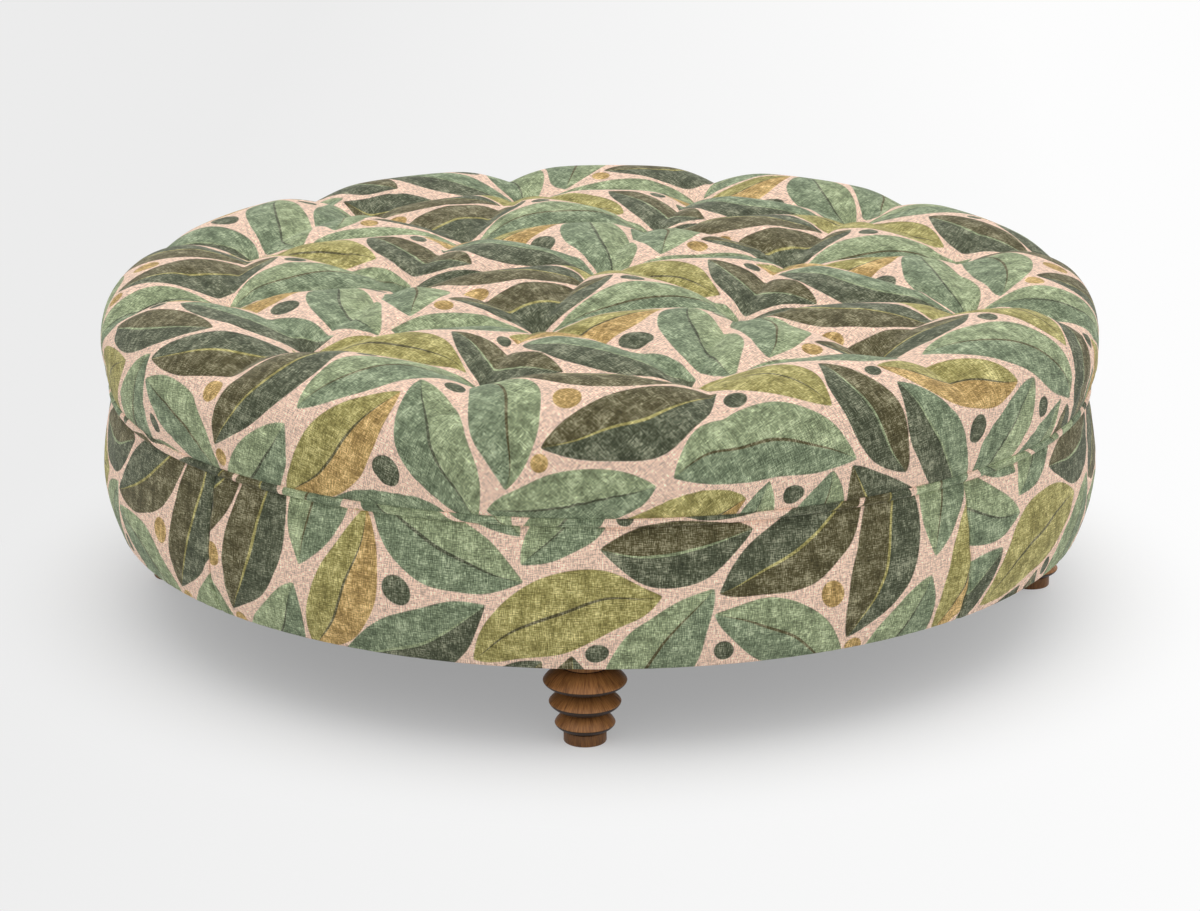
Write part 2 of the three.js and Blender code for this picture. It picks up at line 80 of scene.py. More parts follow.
def add_node(
    tree: bpy.types.NodeTree,
    kind: str,
    *values: Value,
    inputs: Mapping[str | int, Value] | None = None,
    **settings: object,
) -> Outputs:
    """Adds a node to a tree with its settings, values and links.

    Args:
        tree: the node tree that gets the node.
        kind: the node's type name, less the "ShaderNode" that most begin with.
        values: a value or another node's output for each input, in their order.
        inputs: the same by an input's name or place.
        settings: the node's own settings.

    Returns:
        The new node's outputs.
    """
    node = tree.nodes.new(kind if kind.startswith("NodeGroup") else f"ShaderNode{kind}")
    for name, setting in settings.items():
        setattr(node, name, setting)
    for place, value in {**dict(enumerate(values)), **(inputs or {})}.items():
        if isinstance(value, bpy.types.NodeSocket):
            tree.links.new(value, node.inputs[place])
        else:
            node.inputs[place].default_value = value
    return node.outputs


def new_material(name: str) -> tuple[bpy.types.Material, AddNode]:
    """Starts a material.

    Args:
        name: the material's name.

    Returns:
        The material, and what adds nodes to its empty tree.
    """
    material = bpy.data.materials.new(name)
    material.use_nodes = True
    material.node_tree.nodes.clear()
    return material, partial(add_node, material.node_tree)


def cloth_place(add: AddNode) -> bpy.types.NodeSocket:
    """Gives the flat coordinates that a piece was laid out with, in millimetres."""
    uv = add("UVMap", uv_map=CLOTH_MAP)[0]
    return add("VectorMath", uv, inputs={"Scale": 1 / MM}, operation="SCALE")[0]


def scattered(
    add: AddNode, place: bpy.types.NodeSocket, sizes: Sequence[float], detail: float = 1.0
) -> bpy.types.NodeSocket:
    """Scatters grains or fibres that have one size along each axis.

    Args:
        add: adds nodes to the material.
        place: coordinates, in the same unit as the sizes.
        sizes: a grain's size along each axis.
        detail: how many finer layers of grains lie in them.

    Returns:
        Their strength, about 0.5 on average.
    """
    scaled = add("VectorMath", place, tuple(1 / size for size in sizes), operation="MULTIPLY")[0]
    inputs = {"Vector": scaled, "Scale": 1.0, "Detail": detail, "Roughness": 0.6}
    return add("TexNoise", inputs=inputs)[0]


def make_mesh(
    name: str,
    points: np.ndarray,
    faces: np.ndarray | Sequence[Sequence[int]],
    cloth: np.ndarray | None = None,
    smooth: bool = True,
) -> bpy.types.Object:
    """Makes a mesh object from points in millimetres.

    Args:
        name: the piece's name.
        points: the points, one row each.
        faces: the corners of each face, by place in points.
        cloth: flat-cloth coordinates in millimetres, for each point or each face corner.
        smooth: whether the faces are shaded smooth.

    Returns:
        The new object, in metres.
    """
    mesh = bpy.data.meshes.new(name)
    corners = [list(map(int, face)) for face in faces]
    mesh.from_pydata((np.asarray(points) * MM).tolist(), [], corners)
    if cloth is not None:
        layer = mesh.uv_layers.new(name=CLOTH_MAP)
        if len(cloth) == len(points):
            loop_points = np.zeros(len(mesh.loops), dtype=np.int32)
            mesh.loops.foreach_get("vertex_index", loop_points)
            cloth = np.asarray(cloth)[loop_points]
        layer.data.foreach_set("uv", (np.asarray(cloth) * MM).astype(np.float32).ravel())
    mesh.polygons.foreach_set("use_smooth", [smooth] * len(corners))
    mesh.update()
    piece = bpy.data.objects.new(name, mesh)
    bpy.context.scene.collection.objects.link(piece)
    return piece


def mark_points(piece: bpy.types.Object, name: str, values: np.ndarray) -> None:
    """Notes a value at each point of a piece, for its material to read."""
    layer = piece.data.attributes.new(name, "FLOAT", "POINT")
    layer.data.foreach_set("value", values.astype(np.float32))


def place_piece(
    piece: bpy.types.Object,
    material: bpy.types.Material,
    replaced: Sequence[str] = (),
) -> None:
    """Gives a piece its material and its place in the frame.

    Args:
        piece: the piece.
        material: the material that it wears.
        replaced: the frame's nodes that it stands for.
    """
    piece.data.materials.clear()
    piece.data.materials.append(material)
    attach(piece, BODY)
    if replaced:
        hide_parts(*replaced)
    log.info("made %s with %d faces", piece.name, len(piece.data.polygons))


def apply_modifier(piece: bpy.types.Object, kind: str, **settings: object) -> None:
    """Puts what a modifier gives into a piece's mesh.

    Args:
        piece: the piece.
        kind: the modifier's type name.
        settings: the modifier's own settings.
    """
    modifier = piece.modifiers.new(kind.lower(), kind)
    for name, setting in settings.items():
        setattr(modifier, name, setting)
    evaluated = piece.evaluated_get(bpy.context.evaluated_depsgraph_get())
    made = bpy.data.meshes.new_from_object(evaluated)
    old = piece.data
    piece.modifiers.clear()
    piece.data = made
    bpy.data.meshes.remove(old)


def polar(
    radius: np.ndarray | float, angle: np.ndarray | float, level: np.ndarray | float
) -> np.ndarray:
    """Gives the points at radii, angles from the front leg in radians, and levels."""
    axes = np.broadcast_arrays(radius * np.sin(angle), -radius * np.cos(angle), level)
    return np.stack(axes, axis=-1).astype(float)


def run_along(section: np.ndarray) -> np.ndarray:
    """Gives the length run along a section's points up to each one."""
    return np.concatenate([[0], np.cumsum(np.hypot(*np.diff(section, axis=0).T))])


def read_at(where: np.ndarray, run: np.ndarray, section: np.ndarray) -> np.ndarray:
    """Reads a section's radius and level at lengths run along it."""
    return np.stack([np.interp(where, run, section[:, i]) for i in (0, 1)], axis=1)


def waves(angle: np.ndarray, counts: Sequence[int], seed: int) -> np.ndarray:
    """Sums even waves round the stool, so that hand work is not quite regular.

    Args:
        angle: angles in radians.
        counts: how many waves go round, for each of the waves.
        seed: sets where the waves start.

    Returns:
        A value from -1 to 1 for each angle.
    """
    starts = np.random.default_rng(seed).uniform(0, 2 * np.pi, len(counts))
    return sum(np.sin(n * angle + start) for n, start in zip(counts, starts)) / len(counts)


@dataclass(frozen=True)
class Disc:
    """Points in rings on a disc, six more in each ring, joined by even triangles."""

    share: np.ndarray
    angle: np.ndarray
    faces: np.ndarray
    rim: np.ndarray

    @classmethod
    def of_rings(cls, rings: int, start: float) -> Disc:
        """Lays out the disc.

        Args:
            rings: how many rings go round the middle point.
            start: the angle of each ring's first point, in radians.

        Returns:
            The disc, with each point's share of the radius and its angle.
        """
        share, angle, faces = [np.zeros(1)], [np.full(1, start)], []
        first_inner = 0
        for ring in range(1, rings + 1):
            count = 6 * ring
            first = 1 + 3 * ring * (ring - 1)
            share.append(np.full(count, ring / rings))
            angle.append(start + 2 * np.pi * np.arange(count) / count)
            inner_count = max(6 * (ring - 1), 1)
            sector, step = np.divmod(np.arange(count), ring)
            near = first_inner + (sector * (ring - 1) + step) % inner_count
            here = first + np.arange(count)
            after = first + (np.arange(count) + 1) % count
            faces.append(np.stack([near, here, after], axis=1))
            inside = step < ring - 1
            near_after = first_inner + (sector * (ring - 1) + step + 1) % inner_count
            faces.append(np.stack([near, after, near_after], axis=1)[inside])
            first_inner = first
        rim = first_inner + np.arange(6 * rings)
        return cls(np.concatenate(share), np.concatenate(angle), np.concatenate(faces), rim)

    def resampled(self, values: np.ndarray, finer: Disc) -> np.ndarray:
        """Reads values of this disc's points at another disc's points.

        Args:
            values: one row of values for each of this disc's points.
            finer: the other disc, whose rings start at the same angle.

        Returns:
            One row of values for each of the other disc's points.
        """
        rings = int(round(1 / self.share[1]))
        place = finer.share * rings
        below = np.minimum(np.floor(place).astype(int), rings - 1)
        found = np.zeros((2, len(place), values.shape[1]))
        for side in (0, 1):
            for ring in range(rings + 1):
                chosen = below + side == ring
                first, count = (1 + 3 * ring * (ring - 1), 6 * ring) if ring else (0, 1)
                known = values[first : first + count]
                turn = self.angle[first : first + count]
                for column in range(values.shape[1]):
                    found[side, chosen, column] = np.interp(
                        finer.angle[chosen], turn, known[:, column], period=2 * np.pi
                    )
        above = (place - below)[:, None]
        return found[0] * (1 - above) + found[1] * above

    def closed(self, outer: np.ndarray, inner: np.ndarray) -> tuple[np.ndarray, np.ndarray]:
        """Joins an outer and an inner skin into one closed body.

        Args:
            outer: the outer skin's points.
            inner: the inner skin's points, in the same order.

        Returns:
            All points and all triangles.
        """
        behind = self.faces[:, ::-1] + len(outer)
        rim, after = self.rim, np.roll(self.rim, -1)
        edge = [
            np.stack([rim, rim + len(outer), after], axis=1),
            np.stack([after, rim + len(outer), after + len(outer)], axis=1),
        ]
        return np.concatenate([outer, inner]), np.concatenate([self.faces, behind, *edge])


def sweep(
    section: np.ndarray, angles: np.ndarray, round_section: bool = False
) -> tuple[np.ndarray, np.ndarray, np.ndarray]:
    """Sweeps a section of radii and levels round the stool.

    Args:
        section: radius and level of each point, walked down the outside.
        angles: the angles of the stations, in radians.
        round_section: whether the section closes on itself.

    Returns:
        The points, the faces, and the place of each face corner in a grid of stations and
        section points that doesn't close on itself.
    """
    turn = abs((angles[-1] - angles[0]) - 2 * np.pi) < 1e-9
    stations = len(angles) - 1 if turn else len(angles)
    rows = len(section)
    level = np.broadcast_to(section[None, :, 1], (stations, rows))
    points = polar(section[None, :, 0], angles[:stations, None], level).reshape(-1, 3)
    steps = rows if round_section else rows - 1
    station, row = np.divmod(np.arange((len(angles) - 1) * steps), steps)
    corners = [(0, 0), (0, 1), (1, 1), (1, 0)]
    faces = np.stack(
        [((station + s) % stations) * rows + (row + r) % rows for s, r in corners], axis=1
    )
    grid = np.stack([np.stack([station + s, row + r], axis=1) for s, r in corners], axis=1)
    return points, faces, grid.reshape(-1, 2)


# Finishes


class Tone(Enum):
    """The colours of the printed cloth."""

    BLUSH = "#F3D3BD"
    SAGE = "#95A27C"
    TEAL = "#7F8E70"
    SLATE = "#575D48"
    MOSS = "#605A3C"
    LIME = "#A79E5E"
    GOLD = "#C09F62"

    @property
    def colour(self) -> tuple[float, float, float, float]:
        """The tone as a linear colour."""
        return linear(self.value)


@dataclass(frozen=True)
class Motif:
    """A leaf or a berry of the print: two arcs that meet in a point at each end, or a round.

    A leaf's vein parts its two tones. Lengths are in millimetres on the flat cloth.
    """

    centre: tuple[float, float]
    turn: float
    half_length: float
    half_width: float
    tone: Tone
    far_tone: Tone | None = None
    vein: Tone | None = None
    bend: float = 0.0016

    @property
    def arc_radius(self) -> float:
        """Radius of the two arcs that bound it."""
        return (self.half_length**2 + self.half_width**2) / (2 * self.half_width)

    @property
    def inputs(self) -> dict[str, Value]:
        """What the group that measures distances is given for it."""
        return {
            "Centre": (*self.centre, 0),
            "Turn": math.radians(self.turn),
            "Arc Radius": self.arc_radius,
            "Arc Offset": self.arc_radius - self.half_width,
            "Bend": self.bend,
            "Bend Start": self.bend * self.half_length**2 / 2,
        }


def berry(centre: tuple[float, float], radius: float, tone: Tone) -> Motif:
    """Makes a plain round."""
    return Motif(centre, 0, radius, radius, tone, bend=0.0)


@dataclass(frozen=True)
class Marks:
    """Light and dark marks that run with the weft and the warp of a cloth.

    Width and length are in millimetres, and the contrast is in doublings of light.
    """

    width: float
    length: float
    contrast: float

    def crossed(self, add: AddNode, cloth: bpy.types.NodeSocket) -> bpy.types.NodeSocket:
        """Crosses the marks of the two ways.

        Args:
            add: adds nodes to the material.
            cloth: flat-cloth coordinates in millimetres.

        Returns:
            Their strength, about 1 on average.
        """
        weft = scattered(add, cloth, (self.length, self.width, 1.0))
        warp = scattered(add, cloth, (self.width, self.length, 1.0))
        return add("Math", weft, warp, operation="ADD")[0]


@dataclass(frozen=True)
class PrintedLinen:
    """Linen-look polyester cloth, plain woven with slubs and printed. Lengths in millimetres.

    To the eye it is matte, crossed by fine pale and dark threads that break up the print.
    """

    repeat_width: float = 380
    repeat_height: float = 404
    # The real threads are about 0.4 mm wide. They are drawn about 1 mm wide, to show at all.
    threads: Marks = Marks(1.0, 6.5, 3.1)
    slubs: Marks = Marks(0.8, 20, 2.2)
    patches: Marks = Marks(13, 38, 1.8)
    ground_share: float = 0.75
    ink_marks: tuple[float, float] = (0.62, 0.52)
    pale_thread: str = "#EBE7CC"
    pale_marks: tuple[float, float] = (0.1, 1.2)
    pale_share: float = 0.33
    # Painted shade at the tufts: its dark colour and how strongly it darkens the cloth.
    pinch: str = "#2A251D"
    pinch_shade: float = 0.75
    edge: float = 0.6
    tip: float = 1.5
    vein_marks: tuple[float, float] = (-2.0, -50.0)
    vein_width: float = 2.2
    waver: float = 14.0
    waver_length: float = 70.0
    relief: float = 0.5
    relief_share: float = 0.5
    rough_marks: tuple[float, float] = (0.7, 1.3)
    roughness: tuple[float, float] = (0.97, 0.82)
    specular: float = 0.25
    sheen: float = 0.08
    sheen_roughness: float = 0.45
    motifs: tuple[Motif, ...] = (
        Motif((188, 335), 64, 116, 45, Tone.TEAL, Tone.SAGE, Tone.MOSS),
        Motif((350, 75), 213, 110, 44, Tone.SLATE, Tone.MOSS, Tone.LIME),
        Motif((79, 396), 22, 114, 46, Tone.LIME, None, Tone.MOSS),
        Motif((319, 280), 153, 106, 42, Tone.SAGE, Tone.TEAL, Tone.SLATE),
        Motif((71, 249), 254, 110, 44, Tone.MOSS, Tone.SLATE, Tone.LIME),
        Motif((337, 353), 325, 102, 41, Tone.TEAL, Tone.SAGE, Tone.MOSS),
        Motif((200, 210), 247, 98, 40, Tone.LIME, Tone.GOLD, Tone.MOSS),
        Motif((287, 160), 206, 104, 42, Tone.TEAL, Tone.SLATE, Tone.SAGE),
        Motif((94, 127), 235, 92, 38, Tone.SAGE, Tone.TEAL, Tone.SLATE),
        Motif((207, 75), 185, 88, 36, Tone.MOSS, Tone.SLATE, Tone.SAGE),
        berry((273, 217), 17, Tone.SLATE),
        berry((7, 210), 15, Tone.GOLD),
        berry((119, 357), 12, Tone.SLATE),
        berry((259, 357), 12, Tone.SLATE),
        berry((42, 133), 11, Tone.GOLD),
        berry((161, 112), 10, Tone.SLATE),
    )

    def distance_group(self) -> bpy.types.NodeTree:
        """Builds the group that measures how far the cloth's points lie from a repeated motif.

        Returns:
            The group, which gives the distance from a motif's edge and from its long axis.
        """
        tree = bpy.data.node_groups.new("motif_distance", "ShaderNodeTree")
        sockets = [(name, "INPUT", "Vector") for name in ("Cloth", "Centre")]
        names = ("Turn", "Arc Radius", "Arc Offset", "Bend", "Bend Start")
        sockets += [(name, "INPUT", "Float") for name in names]
        sockets += [(name, "OUTPUT", "Float") for name in ("Distance", "Across")]
        for name, way, kind in sockets:
            tree.interface.new_socket(name, in_out=way, socket_type=f"NodeSocket{kind}")
        add = partial(add_node, tree)
        given = add("NodeGroupInput")
        away = add("VectorMath", given["Cloth"], given["Centre"], operation="SUBTRACT")[0]
        flat = add("SeparateXYZ", away)
        columns = add("Math", flat[0], self.repeat_width, operation="DIVIDE")[0]
        column = add("Math", columns, operation="ROUND")[0]
        across = add("Math", column, -self.repeat_width, flat[0], operation="MULTIPLY_ADD")[0]
        # Each column of the repeat drops by half its height, as on most printed cloth.
        half_drop = self.repeat_height / 2
        down = add("Math", column, -half_drop, flat[1], operation="MULTIPLY_ADD")[0]
        down = add("Math", down, half_drop, -half_drop, operation="WRAP")[0]
        place = add("CombineXYZ", across, down)[0]
        turned = add(
            "VectorRotate",
            inputs={"Vector": place, "Angle": given["Turn"]},
            rotation_type="Z_AXIS",
            invert=True,
        )[0]
        own = add("SeparateXYZ", turned)
        square = add("Math", own[0], own[0], operation="MULTIPLY")[0]
        bent = add("Math", square, given["Bend"], own[1], operation="MULTIPLY_ADD")[0]
        bent = add("Math", bent, given["Bend Start"], operation="SUBTRACT")[0]
        # The soft size of the distance across rounds the leaf's two tips.
        soft = add("Math", bent, bent, self.tip**2, operation="MULTIPLY_ADD")[0]
        soft = add("Math", soft, operation="SQRT")[0]
        offset = add("Math", soft, given["Arc Offset"], operation="ADD")[0]
        from_arc = add("CombineXYZ", own[0], offset)[0]
        length = add("VectorMath", from_arc, operation="LENGTH")["Value"]
        distance = add("Math", length, given["Arc Radius"], operation="SUBTRACT")[0]
        add("NodeGroupOutput", distance, bent)
        return tree

    def print_colours(self, add: AddNode, cloth: bpy.types.NodeSocket) -> Value:
        """Paints the motifs over the ground, one after another.

        Args:
            add: adds nodes to the material.
            cloth: flat-cloth coordinates in millimetres.

        Returns:
            The print's colour.
        """
        lay = partial(add, "Mix", data_type="RGBA")
        group = self.distance_group()
        painted: Value = Tone.BLUSH.colour
        for motif in self.motifs:
            found = add("Group", inputs={"Cloth": cloth, **motif.inputs}, node_tree=group)
            tone: Value = motif.tone.colour
            if motif.far_tone:
                far = add("MapRange", found["Across"], -self.edge, self.edge)[0]
                tone = lay(inputs={0: far, 6: tone, 7: motif.far_tone.colour})[2]
            if motif.vein:
                # The vein thins out towards the leaf's edge.
                width = add(
                    "MapRange", found["Distance"], *self.vein_marks, 0.0, self.vein_width
                )[0]
                near = add("Math", found["Across"], operation="ABSOLUTE")[0]
                near = add("Math", near, width, operation="SUBTRACT")[0]
                near = add("MapRange", near, self.edge / 2, -self.edge / 2)[0]
                tone = lay(inputs={0: near, 6: tone, 7: motif.vein.colour})[2]
            inside = add("MapRange", found["Distance"], self.edge, -self.edge)[0]
            painted = lay(inputs={0: inside, 6: painted, 7: tone})[2]
        return painted

    def make(self, name: str) -> bpy.types.Material:
        """Builds the cloth's material.

        Args:
            name: the material's name.

        Returns:
            The material.
        """
        material, add = new_material(name)
        lay = partial(add, "Mix", data_type="RGBA")
        cloth = cloth_place(add)
        # A print screen's hand-cut edge wavers by a few millimetres.
        slow = {"Vector": cloth, "Scale": 1 / self.waver_length, "Detail": 0.0}
        waver = add("TexNoise", inputs=slow)
        sway = (self.waver, self.waver, 0.0)
        swayed = add("VectorMath", waver["Color"], sway, cloth, operation="MULTIPLY_ADD")[0]
        printed = self.print_colours(add, swayed)
        inked = add("MapRange", add("RGBToBW", printed)[0], *self.ink_marks)[0]
        # How light each spot is, in doublings: threads take up more or less of the ink.
        threads = self.threads.crossed(add, cloth)
        light: Value = 0.0
        for marks, strength in (
            (self.threads, threads),
            (self.slubs, self.slubs.crossed(add, cloth)),
        ):
            light = add("Math", strength, marks.contrast, light, operation="MULTIPLY_ADD")[0]
            light = add("Math", light, marks.contrast, operation="SUBTRACT")[0]
        ground = self.ground_share
        share = add("Math", inked, 1 - ground, ground, operation="MULTIPLY_ADD")[0]
        light = add("Math", light, share, operation="MULTIPLY")[0]
        patches = self.patches.crossed(add, cloth)
        worn = self.patches.contrast
        worn = add("Math", patches, worn, -worn, operation="MULTIPLY_ADD")[0]
        light = add("Math", worn, inked, light, operation="MULTIPLY_ADD")[0]
        gain = add("Math", 2.0, light, operation="POWER")[0]
        woven = add("VectorMath", printed, inputs={"Scale": gain}, operation="SCALE")[0]
        # Undyed fibre shows on the threads that lie highest.
        bare = add("MapRange", light, *self.pale_marks, 0.0, self.pale_share)[0]
        bare = add("Math", bare, inked, operation="MULTIPLY")[0]
        woven = lay(inputs={0: bare, 6: woven, 7: linear(self.pale_thread)})[2]
        # Painted shade: the folds pinched together at a tuft shade each other, finer than the mesh
        # shows, so the cloth's colour is darkened there.
        pinch = add("Attribute", attribute_name=PAINTED_PINCH_SHADE)["Fac"]
        shade = add("Math", pinch, self.pinch_shade, operation="MULTIPLY")[0]
        woven = lay(inputs={0: shade, 6: woven, 7: linear(self.pinch)})[2]
        relief = {"Strength": self.relief_share, "Distance": self.relief * MM, "Height": threads}
        surface = add(
            "BsdfPrincipled",
            inputs={
                "Base Color": woven,
                "Normal": add("Bump", inputs=relief)[0],
                "Roughness": add("MapRange", threads, *self.rough_marks, *self.roughness)[0],
                "Specular IOR Level": self.specular,
                "Sheen Weight": self.sheen,
                "Sheen Roughness": self.sheen_roughness,
            },
        )[0]
        add("OutputMaterial", surface)
        return material


@dataclass(frozen=True)
class StainedBeech:
    """Beech, turned on a lathe, stained warm brown and lacquered satin. Lengths in millimetres.

    To the eye it has fine dark streaks up the leg. The stain lies dark in the grooves, and painted
    shade darkens the grooves, each bun's underside and the foot as well.
    """

    wood: str = "#B27A46"
    grain: str = "#6B4423"
    # The dark of the stain in the grooves. The same colour is laid as painted shade in the grooves,
    # over each bun's underside and on the foot.
    groove: str = "#2B1B10"
    # Beech has pores under 0.1 mm wide. Their streaks are drawn 1 mm wide, to show at all.
    streak: tuple[float, float] = (1.0, 16.0)
    figure: tuple[float, float] = (7.0, 60.0)
    figure_share: float = 0.5
    detail: float = 2.0
    grain_marks: tuple[float, float] = (0.62, 0.98)
    stain_and_shade_gain: float = 1.5
    stain_and_shade_streaks: float = 0.5
    stain_and_shade_marks: tuple[float, float] = (0.35, 1.15)
    relief: float = 0.2
    relief_share: float = 0.25
    rough_marks: tuple[float, float] = (0.3, 0.7)
    roughness: tuple[float, float] = (0.38, 0.55)
    ior: float = 1.5
    specular: float = 0.35

    def make(self, name: str) -> bpy.types.Material:
        """Builds the turned legs' material.

        Args:
            name: the material's name.

        Returns:
            The material.
        """
        material, add = new_material(name)
        lay = partial(add, "Mix", data_type="RGBA")
        wood = cloth_place(add)
        streaks = scattered(add, wood, (*self.streak, 1.0), self.detail)
        figure = scattered(add, wood, (*self.figure, 1.0), self.detail)
        depth = add("Math", figure, self.figure_share, streaks, operation="MULTIPLY_ADD")[0]
        dark = add("MapRange", depth, *self.grain_marks)[0]
        body = lay(inputs={0: dark, 6: linear(self.wood), 7: linear(self.grain)})[2]
        # How far stain and painted shade darken each point, as the legs note it.
        stain_and_shade_depth = add("Attribute", attribute_name=STAIN_AND_SHADE)["Fac"]
        # The edge of the stain and painted shade in a groove follows the streaks.
        stain_and_shade_depth = add("Math", stain_and_shade_depth, self.stain_and_shade_gain, operation="MULTIPLY")[0]
        edge = add("Math", streaks, self.stain_and_shade_streaks, stain_and_shade_depth, operation="MULTIPLY_ADD")[0]
        stain_and_shade_mix = add("MapRange", edge, *self.stain_and_shade_marks)[0]
        body = lay(inputs={0: stain_and_shade_mix, 6: body, 7: linear(self.groove)})[2]
        relief = {"Strength": self.relief_share, "Distance": self.relief * MM, "Height": streaks}
        surface = add(
            "BsdfPrincipled",
            inputs={
                "Base Color": body,
                "Normal": add("Bump", inputs=relief)[0],
                "Roughness": add("MapRange", streaks, *self.rough_marks, *self.roughness)[0],
                "IOR": self.ior,
                "Specular IOR Level": self.specular,
            },
        )[0]
        add("OutputMaterial", surface)
        return material


@dataclass(frozen=True)
class PlainStock:
    """A plain workshop material of one mottled or fibrous colour. Lengths in millimetres."""

    light: str
    dark: str
    grain: tuple[float, float, float]
    roughness: float
    relief: float
    metallic: float = 0.0
    detail: float = 4.0
    grain_marks: tuple[float, float] = (0.35, 0.65)
    relief_share: float = 0.5

    def make(self, name: str) -> bpy.types.Material:
        """Builds the material.

        Args:
            name: the material's name.

        Returns:
            The material.
        """
        material, add = new_material(name)
        place = add("TexCoord")["Object"]
        grain = scattered(add, place, tuple(size * MM for size in self.grain), self.detail)
        dark = add("MapRange", grain, *self.grain_marks)[0]
        tones = {0: dark, 6: linear(self.light), 7: linear(self.dark)}
        relief = {"Strength": self.relief_share, "Distance": self.relief * MM, "Height": grain}
        surface = add(
            "BsdfPrincipled",
            inputs={
                "Base Color": add("Mix", inputs=tones, data_type="RGBA")[2],
                "Normal": add("Bump", inputs=relief)[0],
                "Roughness": self.roughness,
                "Metallic": self.metallic,
            },
        )[0]
        add("OutputMaterial", surface)
        return material


class Stock(Enum):
    """The plain materials inside and under the stool, by the real thing that each one is."""

    # Crimped fibre, which gives a soft white with faint cloudy hollows.
    POLYESTER_WADDING = PlainStock("#F4F2EC", "#E4E0D6", (6, 6, 6), 0.97, 1.5)
    # Cut foam, which gives a chalky cream with open cells.
    POLYURETHANE_FOAM = PlainStock("#EADFB4", "#DDCF9C", (1.2, 1.2, 1.2), 0.95, 0.4)
    # Fibres bonded in a flat web, which give a dull black with a fine speckle.
    SPUNBOND_CAMBRIC = PlainStock("#2A2A2B", "#161617", (0.9, 0.9, 0.9), 0.93, 0.3)
    # Twisted and waxed yarn, which gives a warm straw colour with short dark flecks.
    WAXED_TWINE = PlainStock("#DCCFB2", "#B9A888", (0.6, 0.6, 2.0), 0.8, 0.3)
    # Peeled veneer, which gives long pale streaks.
    BIRCH_PLYWOOD = PlainStock("#D3B27E", "#BC9660", (60, 3, 1.5), 0.72, 0.1)
    # Pressed wood fibre, which gives an even brown mottle.
    HARDBOARD = PlainStock("#84603F", "#6E4C30", (2, 2, 2), 0.68, 0.1)
    # Sawn along the grain, which gives pale upright stripes.
    SAWN_SOFTWOOD = PlainStock("#DCC093", "#C39F6C", (2.5, 2.5, 40), 0.8, 0.3)
    # Dipped zinc, which gives a bright cool grey with faint patches.
    ZINC_PLATED_STEEL = PlainStock("#C3C5C8", "#A3A6AA", (2, 2, 2), 0.34, 0.02, 1.0)


# The cushion


@dataclass(frozen=True)
class CushionSection:
    """Section of the seat before it is tufted: crown, rounded shoulder and drawn-in side.

    Lengths are in millimetres.
    """

    radius: float = 610.0
    seam_level: float = 281.1
    side_height: float = 54.0
    draw_in: float = 10.0
    shoulder_width: float = 122.0
    shoulder_height: float = 78.0
    shoulder_power: float = 2.3
    crown_height: float = 16.0
    overhang: float = 2.3
    tuck: float = 5.0
    normal_reach: float = 3.0
    steps: int = 80
    side_steps: int = 24

    @property
    def widest(self) -> float:
        """Level at which the cushion is widest."""
        return self.seam_level + self.side_height

    def profile(self) -> np.ndarray:
        """Draws the section from the centre to the tuck at the seam.

        Returns:
            Radius and level of each point.
        """
        inner = self.radius - self.shoulder_width
        top = self.widest + self.shoulder_height
        crown_r = np.linspace(0, inner, self.steps)
        crown_z = top + self.crown_height * (1 + np.cos(np.pi * crown_r / inner)) / 2
        turn = np.linspace(0, np.pi / 2, self.steps)[1:]
        power = 2 / self.shoulder_power
        shoulder_r = inner + self.shoulder_width * np.sin(turn) ** power
        shoulder_z = self.widest + self.shoulder_height * np.maximum(np.cos(turn), 0) ** power
        # The side runs on past the seam line until it lies on the welt.
        share = np.linspace(0, 1 + self.overhang / self.side_height, self.side_steps)[1:]
        side_r = self.radius - self.draw_in * share**2
        side_z = self.widest - self.side_height * share
        tuck_r = side_r[-1] - self.tuck * np.array([0.35, 1.0])
        tuck_z = np.full(2, side_z[-1])
        radii = np.concatenate([crown_r, shoulder_r, side_r, tuck_r])
        levels = np.concatenate([crown_z, shoulder_z, side_z, tuck_z])
        return np.stack([radii, levels], axis=1)

    def at(self, share: np.ndarray) -> tuple[np.ndarray, np.ndarray, np.ndarray]:
        """Reads the section at shares of its length.

        Args:
            share: from 0 at the centre to 1 at the tuck.

        Returns:
            Radius and level, the outward normal, and the length along the section.
        """
        points = self.profile()
        run = run_along(points)
        where = share * run[-1]
        reach = self.normal_reach
        along = read_at(where + reach, run, points) - read_at(where - reach, run, points)
        normal = np.stack([-along[:, 1], along[:, 0]], axis=1)
        normal /= np.linalg.norm(normal, axis=1, keepdims=True)
        normal[share == 0] = (0, 1)
        return read_at(where, run, points), normal, where


